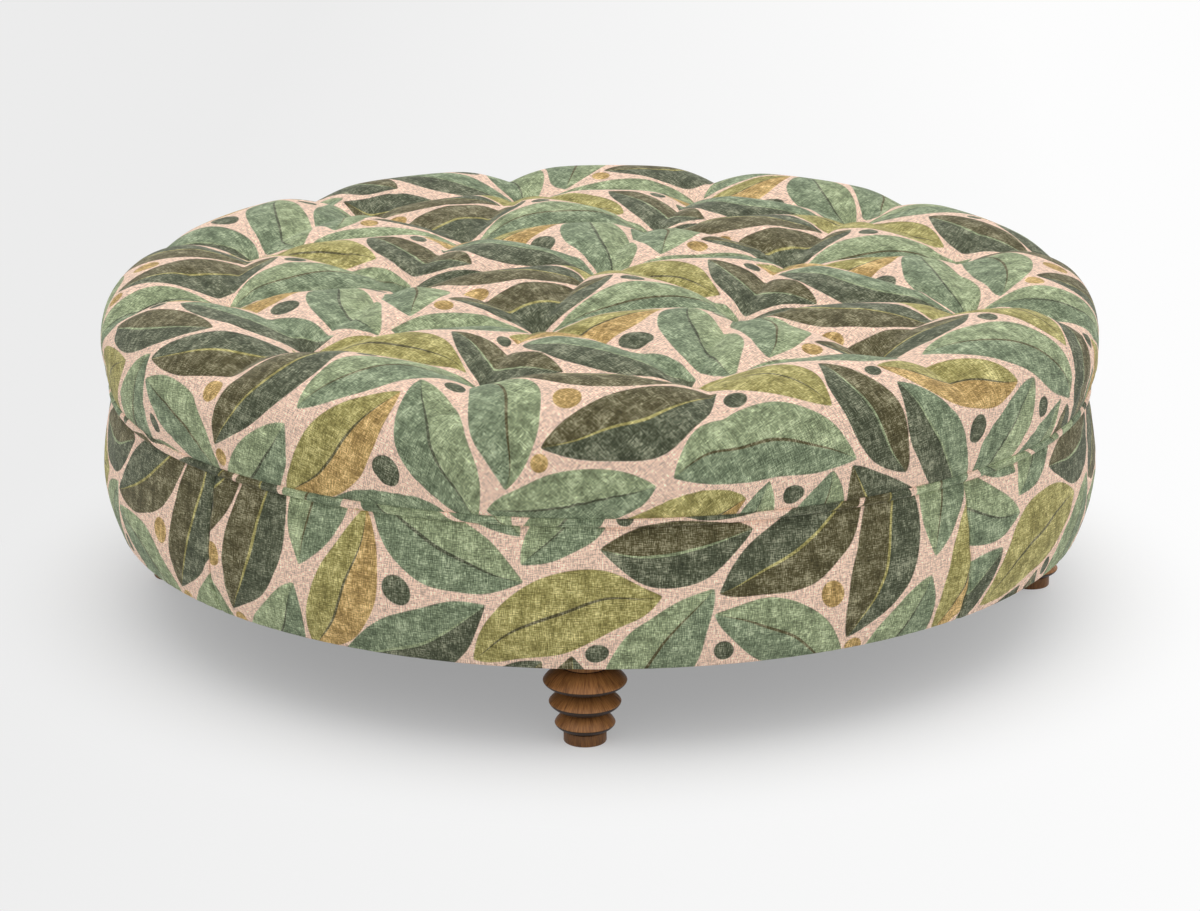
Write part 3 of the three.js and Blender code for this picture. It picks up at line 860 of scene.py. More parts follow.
@dataclass(frozen=True)
class Tufting:
    """Blind tufts, one in the middle and two rings, and the valleys that join them.

    Lengths are in millimetres and angles in degrees.
    """

    inner_count: int = 6
    inner_radius: float = 244.0
    outer_count: int = 12
    outer_radius: float = 456.0
    start: float = -15.0
    depth: float = 34.0
    reach: float = 125.0
    dimple_depth: float = 1.5
    dimple_reach: float = 20.0
    valley_depth: float = 20.0
    valley_reach: float = 88.0
    edge_depth: float = 16.0
    edge_reach: float = 80.0
    fade_share: float = 0.72
    gather: float = 21.0
    gather_reach: float = 90.0
    edge_gather: float = 9.0
    pucker: float = 1.3
    pucker_reach: float = 26.0
    pucker_waves: tuple[int, ...] = (5, 7, 8)
    pucker_seed: int = 31
    pucker_twist: float = 0.25
    # How far the painted shade at each tuft reaches.
    pinch_reach: float = 8.0
    power: float = 3.0

    @property
    def start_angle(self) -> float:
        """Angle of the first tuft of each ring, in radians from the front leg."""
        return math.radians(self.start)

    def ring(self, count: int, radius: float) -> np.ndarray:
        """Gives the places of a ring of tufts on the plan."""
        angles = self.start_angle + 2 * np.pi * np.arange(count) / count
        return polar(radius, angles, 0.0)[:, :2]

    def places(self) -> np.ndarray:
        """Gives the places of all tufts on the plan."""
        inner = self.ring(self.inner_count, self.inner_radius)
        outer = self.ring(self.outer_count, self.outer_radius)
        return np.concatenate([np.zeros((1, 2)), inner, outer])

    def distances(self, plan: np.ndarray) -> list[np.ndarray]:
        """Gives how far places on the plan lie from each tuft."""
        return [np.linalg.norm(plan - tuft, axis=1) for tuft in self.places()]

    def valleys(self) -> list[tuple[np.ndarray, np.ndarray]]:
        """Finds the valleys between neighbouring tufts.

        Returns:
            The two ends of each valley.
        """
        inner = self.ring(self.inner_count, self.inner_radius)
        outer = self.ring(self.outer_count, self.outer_radius)
        ratio = self.outer_count // self.inner_count
        found = []
        for i, place in enumerate(inner):
            found.append((np.zeros(2), place))
            found.append((place, inner[(i + 1) % self.inner_count]))
            found += [(place, outer[(ratio * i + k) % self.outer_count]) for k in (-1, 0, 1)]
        for i, place in enumerate(outer):
            found.append((place, outer[(i + 1) % self.outer_count]))
        return found

    def draw_down(self, plan: np.ndarray, radius: float) -> np.ndarray:
        """Gives how far the cloth is drawn in at places on the plan.

        Args:
            plan: the places.
            radius: the cushion's largest radius.

        Returns:
            A depth in millimetres for each place.
        """

        def hollow(distance: np.ndarray, reach: float) -> np.ndarray:
            """Gives a share that is 1 on the line or point and 0 at its reach."""
            return np.maximum(0, 1 - distance / reach) ** 2

        total = np.zeros(len(plan))
        for distance in self.distances(plan):
            total += (self.depth * hollow(distance, self.reach)) ** self.power
        for start, end in self.valleys():
            along = end - start
            share = np.clip((plan - start) @ along / (along @ along), 0, 1)
            distance = np.linalg.norm(plan - (start + share[:, None] * along), axis=1)
            total += (self.valley_depth * hollow(distance, self.valley_reach)) ** self.power
        for tuft in self.ring(self.outer_count, self.outer_radius):
            along = tuft / np.linalg.norm(tuft)
            out = plan @ along
            aside = np.abs(plan @ np.array([-along[1], along[0]]))
            fade_start = self.outer_radius + self.fade_share * (radius - self.outer_radius)
            share = np.clip((out - fade_start) / (radius - fade_start), 0, 1)
            fade = np.where(out > self.outer_radius, 1 - share**2 * (3 - 2 * share), 0)
            total += (self.edge_depth * fade * hollow(aside, self.edge_reach)) ** self.power
        drawn = total ** (1 / self.power)
        for distance in self.distances(plan):
            drawn += self.dimple_depth * hollow(distance, self.dimple_reach)
        return drawn

    def puckered(self, plan: np.ndarray) -> np.ndarray:
        """Gives how far the small folds round each tuft stand in or out of the cloth.

        Args:
            plan: places on the plan.

        Returns:
            A rise in millimetres for each place.
        """
        rise = np.zeros(len(plan))
        for index, tuft in enumerate(self.places()):
            away = plan - tuft
            distance = np.linalg.norm(away, axis=1) / self.pucker_reach
            around = np.arctan2(away[:, 1], away[:, 0]) + self.pucker_twist * distance
            folds = waves(around, self.pucker_waves, self.pucker_seed + index)
            rise += self.pucker * folds * distance**2 * np.exp(2 * (1 - distance))
        return rise

    def gathered(self, plan: np.ndarray) -> np.ndarray:
        """Gives how far each tuft's pull shifts the cloth, because it takes in a round of it.

        Args:
            plan: places on the plan.

        Returns:
            A shift on the plan, in millimetres, for each place.
        """
        shift = np.zeros_like(plan)
        for tuft in self.places():
            away = plan - tuft
            distance = np.maximum(np.linalg.norm(away, axis=1, keepdims=True), 1e-6)
            pulled = self.gather * np.exp(-distance / self.gather_reach)
            shift += np.where(distance > 1e-3, away / distance * pulled, 0)
        return shift


@dataclass
class Cushion:
    """The seat cushion: a tufted cover over wadding over a foam slab. Lengths in millimetres."""

    section: CushionSection = field(default_factory=CushionSection)
    tufting: Tufting = field(default_factory=Tufting)
    rings: int = 150
    trial_rings: int = 84
    wadding_rings: int = 64
    foam_rings: int = 24
    wadding_share: float = 0.985
    wadding_depth: float = 5.0
    wadding_gap: float = 0.5
    wadding_rise: float = 2.0
    foam_radius: float = 575.0
    foam_edge: float = 40.0
    foam_bottom: float = 279.4
    foam_top: float = 356.4
    foam_rim: float = 2.0
    cloth_turn: float = 45.0
    cloth_ease: float = 0.98
    pressure: float = 4.0
    slack: float = 0.02
    sewn_reach: float = 9.0
    sewn_share: float = 0.975
    frames: int = 20
    swell_reach: float = 30.0
    swell_limit: float = 3.5
    swelling: np.ndarray | None = None

    def cloth_axes(self) -> np.ndarray:
        """Gives the turn from the plan to the cloth's own threads, as a matrix for rows."""
        turn = math.radians(self.cloth_turn)
        return np.array([[math.cos(turn), math.sin(turn)], [-math.sin(turn), math.cos(turn)]])

    def skin(self, disc: Disc, depth: float) -> tuple[np.ndarray, np.ndarray]:
        """Shapes the tufted skin on a disc.

        Args:
            disc: the disc whose points it takes.
            depth: how far it lies inside the cover's outer face.

        Returns:
            The skin's points, and their flat-cloth coordinates.
        """
        found, normal, length = self.section.at(disc.share)
        plan = polar(found[:, 0], disc.angle, 0.0)[:, :2]
        drawn = self.tufting.draw_down(plan, self.section.radius) - self.tufting.puckered(plan)
        drawn = np.where(found[:, 1] > self.section.widest, drawn, 0) + depth
        points = polar(
            found[:, 0] - normal[:, 0] * drawn, disc.angle, found[:, 1] - normal[:, 1] * drawn
        )
        # The cloth is cut with ease for the hollows. It keeps its length down the side, and the
        # valleys to the edge take in its spare width.
        kept = np.minimum(found[:, 0] / np.maximum(length, 1.0), 1.0)
        step = 2 * np.pi / self.tufting.outer_count
        turn = (disc.angle - disc.angle[0] + step / 2) % step - step / 2
        taken = (1 - kept) * (step / 2 * np.tanh(turn / step * self.tufting.edge_gather) - turn)
        cloth_angle = disc.angle + taken + math.radians(self.cloth_turn)
        flat = polar(length * self.cloth_ease, cloth_angle, 0.0)[:, :2]
        return points, flat + self.tufting.gathered(plan) @ self.cloth_axes()

    def disc(self, rings: int) -> Disc:
        """Lays out a disc whose rings start at a tuft."""
        return Disc.of_rings(rings, self.tufting.start_angle)

    def pressed(self, start: np.ndarray, disc: Disc, nearest: np.ndarray) -> np.ndarray:
        """Presses the skin outward from within by a cloth simulation.

        Args:
            start: the skin's points.
            disc: the disc that they lie on.
            nearest: how far each point lies from its nearest tuft.

        Returns:
            How far each point has moved, in millimetres.
        """
        piece = make_mesh("cover_trial", start, disc.faces)
        held = piece.vertex_groups.new(name="sewn")
        sewn = np.flatnonzero((nearest < self.sewn_reach) | (disc.share > self.sewn_share))
        held.add(sewn.tolist(), 1.0, "REPLACE")
        cloth = piece.modifiers.new("padding", "CLOTH")
        for name, setting in {
            "quality": 6,
            "mass": 0.4,
            "tension_stiffness": 25,
            "compression_stiffness": 25,
            "shear_stiffness": 8,
            "bending_stiffness": 2.0,
            "air_damping": 2.0,
            "vertex_group_mass": "sewn",
            "use_pressure": True,
            "uniform_pressure_force": self.pressure,
            "shrink_min": -self.slack,
        }.items():
            setattr(cloth.settings, name, setting)
        cloth.settings.effector_weights.gravity = 0
        cloth.collision_settings.use_collision = False
        cloth.point_cache.frame_start = 1
        cloth.point_cache.frame_end = self.frames
        for step in range(1, self.frames + 1):
            bpy.context.scene.frame_set(step)
        evaluated = piece.evaluated_get(bpy.context.evaluated_depsgraph_get())
        ended = np.zeros(len(evaluated.data.vertices) * 3, dtype=np.float32)
        evaluated.data.vertices.foreach_get("co", ended)
        piece.modifiers.clear()
        bpy.context.scene.frame_set(1)
        bpy.data.meshes.remove(piece.data)
        return ended.reshape(-1, 3) / MM - start

    def swell(self) -> None:
        """Lets the padding press the cover out between its tufts."""
        disc = self.disc(self.trial_rings)
        start, _ = self.skin(disc, 0.0)
        nearest = np.min(self.tufting.distances(start[:, :2]), axis=0)
        moved = self.pressed(start, disc, nearest)
        # The section is that of the filled cushion, so each ring's mean swell is taken off again.
        out = polar(np.ones(len(start)), disc.angle, 0.0)
        for ring in np.unique(disc.share):
            chosen = disc.share == ring
            outward = np.mean(np.sum(moved[chosen] * out[chosen], axis=1))
            moved[chosen] -= out[chosen] * outward + (0, 0, np.mean(moved[chosen, 2]))
        moved *= (1 - np.exp(-((nearest / self.swell_reach) ** 2)))[:, None]
        size = np.linalg.norm(moved, axis=1, keepdims=True)
        log.info("cover swells by %.1f mm at most, %.1f on average", size.max(), size.mean())
        limit = self.swell_limit
        self.swelling = moved * limit * np.tanh(size / limit) / np.maximum(size, 1e-6)

    def settled(self, disc: Disc, points: np.ndarray) -> np.ndarray:
        """Moves a disc's points as the simulation moved the cover, if it ran.

        Args:
            disc: the disc that the points lie on.
            points: the points.

        Returns:
            The moved points.
        """
        if self.swelling is None:
            return points
        return points + self.disc(self.trial_rings).resampled(self.swelling, disc)

    def make_cover(self, material: bpy.types.Material) -> None:
        """Makes the tufted cover.

        Args:
            material: the cloth that it is cut from.
        """
        disc = self.disc(self.rings)
        points, flat = self.skin(disc, 0.0)
        cover = make_mesh("seat_cover_tufted", self.settled(disc, points), disc.faces, flat)
        nearest = np.min(self.tufting.distances(points[:, :2]), axis=0)
        # Notes where the cloth's colour gets painted shade at each tuft.
        mark_points(cover, PAINTED_PINCH_SHADE, np.exp(-((nearest / self.tufting.pinch_reach) ** 2)))
        place_piece(cover, material, ["seat_cover"])

    def slab(self, grow: float, bottom: float, share: np.ndarray) -> np.ndarray:
        """Reads the section of the foam slab with its rounded top edge.

        Args:
            grow: how much larger than the foam it is.
            bottom: the level that it ends at.
            share: from 0 at the centre to 1 at the bottom edge.

        Returns:
            Radius and level for each share.
        """
        radius, edge = self.foam_radius + grow, self.foam_edge + grow
        turn = np.linspace(0, np.pi / 2, 9)
        levels = self.foam_top - self.foam_edge + edge * np.cos(turn)
        section = np.stack(
            [
                np.concatenate([[0], radius - edge + edge * np.sin(turn), [radius]]),
                np.concatenate([[self.foam_top + grow], levels, [bottom]]),
            ],
            axis=1,
        )
        run = run_along(section)
        return read_at(share * run[-1], run, section)

    def make_wadding(self, material: bpy.types.Material) -> None:
        """Makes the wadding between the cover and the foam.

        Args:
            material: the wadding.
        """
        disc = self.disc(self.wadding_rings)
        layer = Disc(disc.share * self.wadding_share, disc.angle, disc.faces, disc.rim)
        outer, _ = self.skin(layer, self.wadding_depth)
        outer = self.settled(layer, outer)
        bottom = self.section.seam_level + self.wadding_rise
        inner = self.slab(self.wadding_gap, bottom, disc.share)
        points, faces = disc.closed(outer, polar(inner[:, 0], disc.angle, inner[:, 1]))
        wadding = make_mesh("seat_wadding_layer", points, faces)
        place_piece(wadding, material, ["seat_wadding"])

    def make_foam(self, material: bpy.types.Material) -> None:
        """Makes the foam slab.

        Args:
            material: the foam.
        """
        disc = self.disc(self.foam_rings)
        top = self.slab(0.0, self.foam_bottom + self.foam_rim, disc.share)
        flat = polar(self.foam_radius * disc.share, disc.angle, self.foam_bottom)
        points, faces = disc.closed(polar(top[:, 0], disc.angle, top[:, 1]), flat)
        foam = make_mesh("seat_foam_slab", points, faces)
        place_piece(foam, material, ["seat_foam"])


# Welt and side band


@dataclass
class Welt:
    """The welt between cushion and band: cord in a strip of the same cloth. In millimetres."""

    radius: float = 597.0
    level: float = 275.3
    diameter: float = 11.0
    print_slip: float = 8.0
    ripples: tuple[tuple[float, tuple[int, ...], int], ...] = (
        (0.22, (97, 131, 173, 211), 3),
        (0.12, (307, 389), 4),
    )
    stations: int = 540
    sides: int = 14

    def make(self, material: bpy.types.Material, band: SideBand) -> None:
        """Makes the welt.

        Args:
            material: the cloth that it wears.
            band: the side band, whose print its strip carries on with a small slip.
        """
        turn = np.pi / 2 - 2 * np.pi * np.arange(self.sides) / self.sides
        half = self.diameter / 2
        radii, levels = self.radius + half * np.cos(turn), self.level + half * np.sin(turn)
        angles = np.linspace(-np.pi, np.pi, self.stations + 1)
        points, faces, grid = sweep(np.stack([radii, levels], axis=1), angles, round_section=True)
        station = np.repeat(angles[:-1], self.sides)
        # The strip is cut on the bias and pulls in faint ripples round the cord.
        ripple = sum(size * waves(station, counts, seed) for size, counts, seed in self.ripples)
        middle = polar(self.radius, station, self.level)
        points = middle + (points - middle) * (1 + ripple / half)[:, None]
        around = band.widest_radius * angles[grid[:, 0]] + band.print_shifts[0] + self.print_slip
        up = band.top_length + half + half * (np.pi / 2 - 2 * np.pi * grid[:, 1] / self.sides)
        welt = make_mesh("seat_welt_cord", points, faces, np.stack([around, up], axis=1))
        place_piece(welt, material, ["seat_welt"])


@dataclass
class SideBand:
    """The side band: four panels sewn end to end, over padding. In millimetres and degrees."""

    panels: int = 4
    seam_angle: float = 45.0
    top: float = 272.0
    top_tuck: float = 3.0
    widest_level: float = 178.9
    foot: float = 109.0
    widest_radius: float = 611.3
    top_drop: float = 17.0
    top_span: float = 101.7
    top_power: float = 1.5
    foot_drop: float = 17.4
    foot_span: float = 74.0
    hem_radius: float = 5.0
    hem_width: float = 28.0
    hem_bottom: float = 104.0
    thickness: float = 1.6
    seam_groove: float = 2.4
    seam_reach: float = 6.0
    seam_crowding: float = 0.75
    allowance: float = 5.0
    allowance_lift: float = 0.6
    pull: float = 0.7
    pull_reach: float = 30.0
    pull_height: float = 5.5
    foot_fade: float = 20.0
    top_fade: float = 14.0
    hem_pucker: float = 0.5
    hem_reach: float = 16.0
    stations: int = 150
    rows: int = 40
    print_shifts: tuple[float, ...] = (96.0, 214.0, 17.0, 160.0)
    padding_inner: float = 586.6
    padding_step: float = 260.2
    padding_gap: float = 3.2

    @property
    def top_length(self) -> float:
        """Where the band's upper edge lies on the flat cloth, above the widest ring."""
        return self.top - self.widest_level

    def radius_at(self, level: np.ndarray) -> np.ndarray:
        """Gives the band's radius at levels.

        Args:
            level: the levels.

        Returns:
            A radius for each level.
        """
        above = np.maximum(level - self.widest_level, 0) / self.top_span
        below = np.maximum(self.widest_level - level, 0) / self.foot_span
        drop = self.top_drop * above**self.top_power
        return self.widest_radius - drop - self.foot_drop * below**2

    def section(self) -> np.ndarray:
        """Draws the cloth's section down the outside, round the hem and in under the body.

        Returns:
            Radius and level of each point.
        """
        level = np.linspace(self.top - self.top_tuck, self.foot, self.rows)
        face = np.stack([self.radius_at(level), level], axis=1)
        top = face[0] + np.array([[-4.6, 3.6], [-2.2, 3.1], [-0.7, 1.8]])
        radius, edge = face[-1]
        turn = np.radians([18, 36, 54, 72, 90])
        hem_r = radius - self.hem_radius + self.hem_radius * np.cos(turn)
        hem_z = edge - (edge - self.hem_bottom) * np.sin(turn)
        inner = [
            [radius - self.hem_width / 2, self.hem_bottom],
            [radius - self.hem_width, self.hem_bottom + 0.1],
        ]
        return np.concatenate([top, face, np.stack([hem_r, hem_z], axis=1), inner])

    def moved(
        self, index: int, radius: np.ndarray, angle: np.ndarray, level: np.ndarray
    ) -> np.ndarray:
        """Gives a panel's radii with its slack, its seam grooves and its puckers.

        Args:
            index: the panel's place, from the front one round.
            radius: the plain radius of each point.
            angle: its angle.
            level: its level.

        Returns:
            The new radii.
        """
        to_seam = self.widest_radius * np.minimum(angle - angle[0], angle[-1] - angle)
        face = np.clip((level - self.foot) / self.foot_fade, 0, 1)
        face = face * np.clip((self.top - level) / self.top_fade, 0, 1)
        groove = self.seam_groove * np.maximum(0, 1 - to_seam / self.seam_reach) ** 2
        pull = self.pull * np.exp(-to_seam / self.pull_reach)
        pull = pull * np.sin(level / self.pull_height + index)
        slack = 0.8 * waves(angle, (9, 14, 23, 31), 11)
        slack = slack + 0.35 * waves(angle + level / 400, (47, 61, 83), 12)
        hem = self.hem_pucker * np.exp(-np.abs(level - self.foot) / self.hem_reach)
        return radius - groove + face * (pull + slack) + hem * waves(angle, (120, 163, 201), 13)

    def make_panel(self, index: int, material: bpy.types.Material) -> None:
        """Makes one panel of the band.

        Args:
            index: its place, from the front one round.
            material: the cloth that it wears.
        """
        section = self.section()
        rows = len(section)
        step = 2 * np.pi / self.panels
        start = index * step - math.radians(self.seam_angle)
        # Stations crowd towards the seams, and the last one at each end is the turned-in
        # allowance.
        share = np.linspace(0, 1, self.stations + 1)
        crowded = np.sin(2 * np.pi * share) * self.seam_crowding / (2 * np.pi)
        share = np.concatenate([[0], np.clip(share - crowded, 0, 1), [1]])
        angles = start + step * share
        points, faces, grid = sweep(section, angles)
        radius = np.hypot(points[:, 0], points[:, 1])
        moved = self.moved(index, radius, np.repeat(angles, rows), points[:, 2])
        moved[:rows] -= self.allowance
        moved[-rows:] -= self.allowance
        # Under the body the allowance lies above the panel, not further in.
        points[[rows - 2, rows - 1, -2, -1], 2] += self.allowance_lift
        points = points * np.stack([moved / radius, moved / radius, np.ones(len(radius))], axis=1)
        run = run_along(section)
        widest_run = np.interp(-self.widest_level, -section[:, 1], run)
        around = self.widest_radius * angles[grid[:, 0]] + self.print_shifts[index]
        flat = np.stack([around, widest_run - run[grid[:, 1]]], axis=1)
        panel = make_mesh(f"band_panel_{SIDES[index]}_cloth", points, faces, flat)
        apply_modifier(panel, "SOLIDIFY", thickness=self.thickness * MM, offset=-1)
        place_piece(panel, material, [f"band_panel_{SIDES[index]}"])

    def make_padding(self, material: bpy.types.Material) -> None:
        """Makes the padding under the band.

        Args:
            material: the wadding.
        """
        top, foot = self.top - 4, self.foot + 2
        level = np.linspace(top, foot, 14)
        outer = np.stack([self.radius_at(level) - self.padding_gap, level], axis=1)
        back, front = self.padding_inner, self.padding_inner + 5.0
        inner = [
            [back, foot],
            [back, self.padding_step],
            [front, self.padding_step],
            [front, top],
        ]
        section = np.concatenate([outer, inner])
        points, faces, _ = sweep(section, np.linspace(-np.pi, np.pi, 145), round_section=True)
        padding = make_mesh("band_padding_roll", points, faces)
        place_piece(padding, material, ["band_padding"])


# Legs and underside


@dataclass
class TurnedLegs:
    """Four turned legs: a foot, three buns that widen upward on one core, a collar.

    Lengths are in millimetres.
    """

    circle: float = 539.2
    height: float = 102.5
    foot_height: float = 13.7
    foot_radius: float = 24.1
    foot_edge: float = 1.5
    core: float = 20.7
    buns: int = 3
    lowest_bun: float = 34.0
    bun_step: float = 6.5
    bun_pitch: float = 25.1
    lowest_underside: float = 8.6
    underside: float = 11.5
    underside_power: float = 1.62
    top_power: float = 1.24
    collar: float = 26.0
    collar_height: float = 13.0
    collar_ease: float = 0.3
    collar_edge: float = 1.0
    bore: float = 4.4
    bore_depth: float = 36.0
    groove_shade: float = 1.2
    foot_shade: float = 0.3
    grain_shift: float = 130.0
    spin: float = 0.7
    arc_steps: int = 14
    columns: int = 96

    def bun_ends(self, index: int) -> tuple[np.ndarray, np.ndarray]:
        """Places one bun.

        Args:
            index: its place, from the lowest one up.

        Returns:
            Radius and level of its rim and of its upper end.
        """
        level = self.foot_height + self.lowest_underside + index * self.bun_pitch
        rim = np.array([self.lowest_bun + index * self.bun_step, level])
        if index == self.buns - 1:
            end = (self.collar + self.collar_ease, self.height - self.collar_height)
            return rim, np.array(end)
        return rim, np.array([self.core, level + self.bun_pitch - self.underside])

    def section(self) -> tuple[np.ndarray, np.ndarray]:
        """Draws the legs' section, up the outside and down the bore.

        Returns:
            Radius and level of each point, and how far stain and painted shade darken it.
        """
        edge_turns = np.radians([0, 30, 60, 90])
        inner, edge = self.foot_radius - self.foot_edge, self.foot_edge
        points = [(0.0, 0.0)]
        points += [(inner + edge * math.sin(t), edge - edge * math.cos(t)) for t in edge_turns]
        points += [
            (inner + edge * math.cos(t), self.foot_height - edge + edge * math.sin(t))
            for t in edge_turns
        ]
        # The foot gets a little painted shade all over.
        stain_and_shade_depth = [self.foot_shade] * len(points)
        low = np.array([self.core, self.foot_height])
        turns = np.linspace(0, np.pi / 2, self.arc_steps + 1)
        for index in range(self.buns):
            rim, top = self.bun_ends(index)
            for end, power, order in (
                (low, self.underside_power, turns[::-1]),
                (top, self.top_power, turns[1:]),
            ):
                for t in order:
                    radius = end[0] + (rim[0] - end[0]) * max(math.cos(t), 0) ** (2 / power)
                    level = rim[1] + (end[1] - rim[1]) * math.sin(t) ** (2 / power)
                    points.append((radius, level))
                    # Dark near the groove is partly stain that gathers there and partly painted
                    # shade, and the dark over a bun's underside is painted shade.
                    below = min(1.0, max(0.0, rim[1] - level))
                    near = 1 - math.dist((radius, level), end) / self.groove_shade
                    stain_and_shade_depth.append(max(below, near))
            low = top
        upper = [
            (self.collar, self.height - self.collar_height + self.collar_edge / 2),
            (self.collar, self.height - self.collar_edge),
            (self.collar - self.collar_edge, self.height),
            (self.bore, self.height),
            (self.bore, self.height - self.bore_depth),
            (0.0, self.height - self.bore_depth),
        ]
        return np.array(points + upper), np.array(stain_and_shade_depth + [0.0] * len(upper))

    def make(self, material: bpy.types.Material) -> None:
        """Makes the four legs.

        Args:
            material: the wood that they are turned from.
        """
        section, stain_and_shade_depth = self.section()
        angles = np.linspace(-np.pi, np.pi, self.columns + 1)
        points, faces, grid = sweep(section[::-1], angles)
        run = run_along(section[::-1])
        wood = np.stack([self.lowest_bun * angles[grid[:, 0]], run[grid[:, 1]]], axis=1)
        for index, side in enumerate(SIDES):
            turn = 2 * np.pi * index / len(SIDES)
            spin = turn + self.spin * index
            cos, sin = math.cos(spin), math.sin(spin)
            turned = points @ np.array([[cos, sin, 0], [-sin, cos, 0], [0, 0, 1]])
            placed = turned + polar(self.circle, turn, 0.0)
            grain = wood + (0, self.grain_shift * index)
            leg = make_mesh(f"leg_{side}_turned", placed, faces, grain)
            # Notes how far stain and painted shade darken each point.
            mark_points(leg, STAIN_AND_SHADE, np.tile(stain_and_shade_depth[::-1], self.columns))
            # The points that lie on the leg's axis become one.
            apply_modifier(leg, "WELD", merge_threshold=0.01 * MM)
            place_piece(leg, material, [f"leg_{side}"])


@dataclass
class Underside:
    """Dust cloth under the body, held by staples. In millimetres."""

    radius: float = 572.0
    top: float = 103.5
    thickness: float = 0.6
    rings: int = 72
    pull: float = 0.16
    staples: int = 96
    staple_width: float = 11.0
    staple_wire: float = 0.9
    staple_leg: float = 1.2
    staple_bend: float = 0.8
    staple_inset: float = 9.0
    staple_drop: float = 1.1

    def make_cloth(self, material: bpy.types.Material) -> None:
        """Makes the dust cloth.

        Args:
            material: the cloth.
        """
        disc = Disc.of_rings(self.rings, 0.0)
        flat = polar(self.radius * disc.share, disc.angle, self.top - self.thickness)
        # Drawn tight and stapled, it keeps faint pull lines between its staples.
        flat[:, 2] += self.pull * waves(disc.angle, (24, 37, 48), 21) * disc.share**3
        cloth = make_mesh("dust_cloth_sheet", flat, disc.faces)
        apply_modifier(cloth, "SOLIDIFY", thickness=self.thickness * MM, offset=0)
        place_piece(cloth, material, ["dust_cloth"])

    def make_staples(self, material: bpy.types.Material) -> None:
        """Makes the staples round the dust cloth's edge.

        Args:
            material: the wire's metal.
        """
        points, faces = [], []
        half, wire, bend = self.staple_width / 2, self.staple_wire / 2, self.staple_bend
        ends = [(-half, self.staple_leg), (-half + bend, 0.0)]
        stations = ends + [(-run, rise) for run, rise in ends[::-1]]
        corners = ((-wire, 0.0), (0.0, -wire), (wire, 0.0), (0.0, wire))
        for index in range(self.staples):
            turn = 2 * np.pi * (index + 0.5) / self.staples
            # No two staples are driven quite square.
            lean = turn + 0.12 * math.sin(index * 2.4)
            along = np.array([math.cos(lean), math.sin(lean), 0])
            across = np.array([-along[1], along[0], 0])
            centre = polar(self.radius - self.staple_inset, turn, self.top - self.staple_drop)
            first = len(points)
            for run, rise in stations:
                for side, down in corners:
                    offset = np.array([0, 0, rise + down])
                    points.append(centre + along * run + across * side + offset)
            for step in range(len(stations) - 1):
                for k in range(4):
                    a, b = first + 4 * step + k, first + 4 * step + (k + 1) % 4
                    faces.append((a, b, b + 4, a + 4))
            last = first + 4 * (len(stations) - 1)
            faces += [tuple(first + k for k in (3, 2, 1, 0)), tuple(last + k for k in range(4))]
        staples = make_mesh("dust_cloth_staples", np.array(points), faces, smooth=False)
        place_piece(staples, material)


@dataclass
class HiddenFrame:
    """The boards, hoop, uprights, blocks, bolts and ties inside, which keep their own solids."""

    finishes: tuple[tuple[str, Stock], ...] = (
        ("deck_board", Stock.BIRCH_PLYWOOD),
        ("base_board", Stock.BIRCH_PLYWOOD),
        ("side_hoop", Stock.HARDBOARD),
        ("upright", Stock.SAWN_SOFTWOOD),
        ("leg_block", Stock.SAWN_SOFTWOOD),
        ("hanger_bolt", Stock.ZINC_PLATED_STEEL),
        ("tee_nut", Stock.ZINC_PLATED_STEEL),
        ("tuft_tie", Stock.WAXED_TWINE),
    )

    def dress(self, stocks: Mapping[Stock, bpy.types.Material]) -> None:
        """Gives each node of the frame the material that it is made of.

        Args:
            stocks: the material of each stock.
        """
        for name, node in sorted(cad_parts.items()):
            for start, stock in self.finishes:
                if name.startswith(start):
                    node.data.materials.clear()
                    node.data.materials.append(stocks[stock])
                    log.info("dressed %s", name)


# Studio


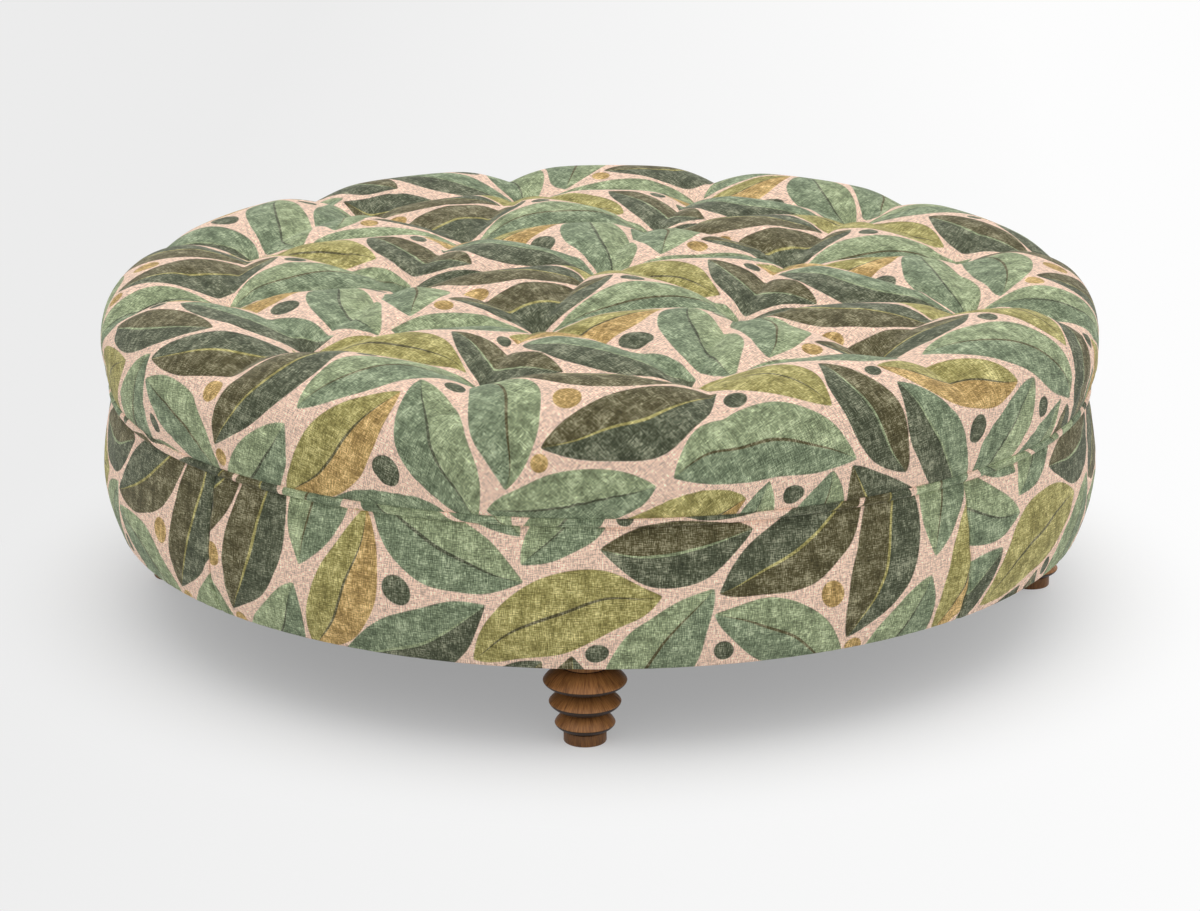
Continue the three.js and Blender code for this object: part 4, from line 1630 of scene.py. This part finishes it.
@dataclass
class Studio:
    """Plain pale floor, soft light and the camera. In metres and degrees."""

    floor_size: float = 60.0
    background_left: str = "#ECECEC"
    background_right: str = "#FDFDFD"
    background_reach: float = 0.8
    floor_roughness: float = 0.9
    shadow_inner: float = 0.52
    shadow_outer: float = 0.79
    shadow_fill: float = 0.36
    lens: float = 108.2
    sensor: float = 36.0
    camera_place: tuple[float, float, float] = (0.1323, -4.283, 1.513)
    camera_tilt: float = 72.514
    camera_turn: float = 1.77
    sky: float = 0.15
    dome: float = 2.55
    dome_spread: float = 140.0

    @staticmethod
    def plainly_seen(add: AddNode) -> bpy.types.NodeSocket:
        """Tells the rays that see the background from those that carry light.

        Args:
            add: adds nodes to the floor or the sky.

        Returns:
            1 for a ray from the eye, a gloss or a clear thing, and 0 for one of light.
        """
        rays = add("LightPath")
        gloss, clear = rays["Is Glossy Ray"], rays["Is Transmission Ray"]
        either = add("Math", gloss, clear, operation="MAXIMUM")[0]
        return add("Math", rays["Is Camera Ray"], either, operation="MAXIMUM")[0]

    def make_floor(self) -> None:
        """Makes the floor, its colour painted a little brighter on the right, as light falls in a
        daylit studio.

        To the eye, and in reflections, it fades into plain background away from the stool, and
        keeps the stool's shadow near it.
        """
        half = self.floor_size / 2 / MM
        corners = np.array([[-half, -half, 0], [half, -half, 0], [half, half, 0], [-half, half, 0]])
        floor = make_mesh("studio_floor", corners, [(0, 1, 2, 3)], smooth=False)
        material, add = new_material("pale_floor")
        place = add("TexCoord")["Object"]
        reach = self.background_reach
        share = add("MapRange", add("SeparateXYZ", place)[0], -reach, reach)[0]
        left, right = linear(self.background_left), linear(self.background_right)
        # Painted light: the floor's colour grows brighter towards the right.
        colour = add("Mix", inputs={0: share, 6: left, 7: right}, data_type="RGBA")[2]
        matte = {
            "Base Color": colour,
            "Roughness": self.floor_roughness,
            "Specular IOR Level": 0.0,
        }
        away = add("VectorMath", place, operation="LENGTH")["Value"]
        marks = (self.shadow_inner, self.shadow_outer, self.shadow_fill, 1.0)
        fade = add("MapRange", away, *marks, interpolation_type="SMOOTHSTEP")[0]
        seen = add("Math", self.plainly_seen(add), fade, operation="MULTIPLY")[0]
        shaded = add("BsdfPrincipled", inputs=matte)[0]
        plain = add("Emission", colour, 1.0)[0]
        add("OutputMaterial", add("MixShader", seen, shaded, plain)[0])
        floor.data.materials.append(material)

    def make_light(self) -> None:
        """Lights the scene by a soft dome overhead and a faint even sky, which looks white."""
        world = bpy.data.worlds.new("even_sky")
        world.use_nodes = True
        world.node_tree.nodes.clear()
        add = partial(add_node, world.node_tree)
        strength = add("MapRange", self.plainly_seen(add), 0.0, 1.0, self.sky, 1.0)[0]
        add("OutputWorld", add("Background", linear(self.background_right), strength)[0])
        bpy.context.scene.world = world
        lamp = bpy.data.lights.new("soft_dome", "SUN")
        lamp.energy = self.dome
        lamp.angle = math.radians(self.dome_spread)
        holder = bpy.data.objects.new("soft_dome", lamp)
        bpy.context.scene.collection.objects.link(holder)

    def make_camera(self) -> None:
        """Sets the camera at the photograph's view."""
        data = bpy.data.cameras.new("camera")
        data.lens = self.lens
        data.sensor_width = self.sensor
        holder = bpy.data.objects.new("camera", data)
        holder.location = self.camera_place
        holder.rotation_euler = (math.radians(self.camera_tilt), 0, math.radians(self.camera_turn))
        bpy.context.scene.collection.objects.link(holder)
        bpy.context.scene.camera = holder

    def make(self) -> None:
        """Makes the camera, the floor and the light."""
        self.make_camera()
        self.make_floor()
        self.make_light()
        bpy.context.scene.view_settings.view_transform = "Standard"


def main() -> None:
    """Builds the footstool's pieces in order."""
    logging.basicConfig(level=logging.INFO, format="%(name)s: %(message)s")
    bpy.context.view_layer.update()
    Studio().make()
    stocks = {stock: stock.value.make(stock.name.lower()) for stock in Stock}
    linen = PrintedLinen().make("printed_linen")
    beech = StainedBeech().make("stained_beech")
    cushion = Cushion()
    cushion.swell()
    cushion.make_foam(stocks[Stock.POLYURETHANE_FOAM])
    cushion.make_wadding(stocks[Stock.POLYESTER_WADDING])
    cushion.make_cover(linen)
    band = SideBand()
    band.make_padding(stocks[Stock.POLYESTER_WADDING])
    for index in range(band.panels):
        band.make_panel(index, linen)
    Welt().make(linen, band)
    TurnedLegs().make(beech)
    underside = Underside()
    underside.make_cloth(stocks[Stock.SPUNBOND_CAMBRIC])
    underside.make_staples(stocks[Stock.ZINC_PLATED_STEEL])
    HiddenFrame().dress(stocks)


if __name__ == "__main__":
    main()
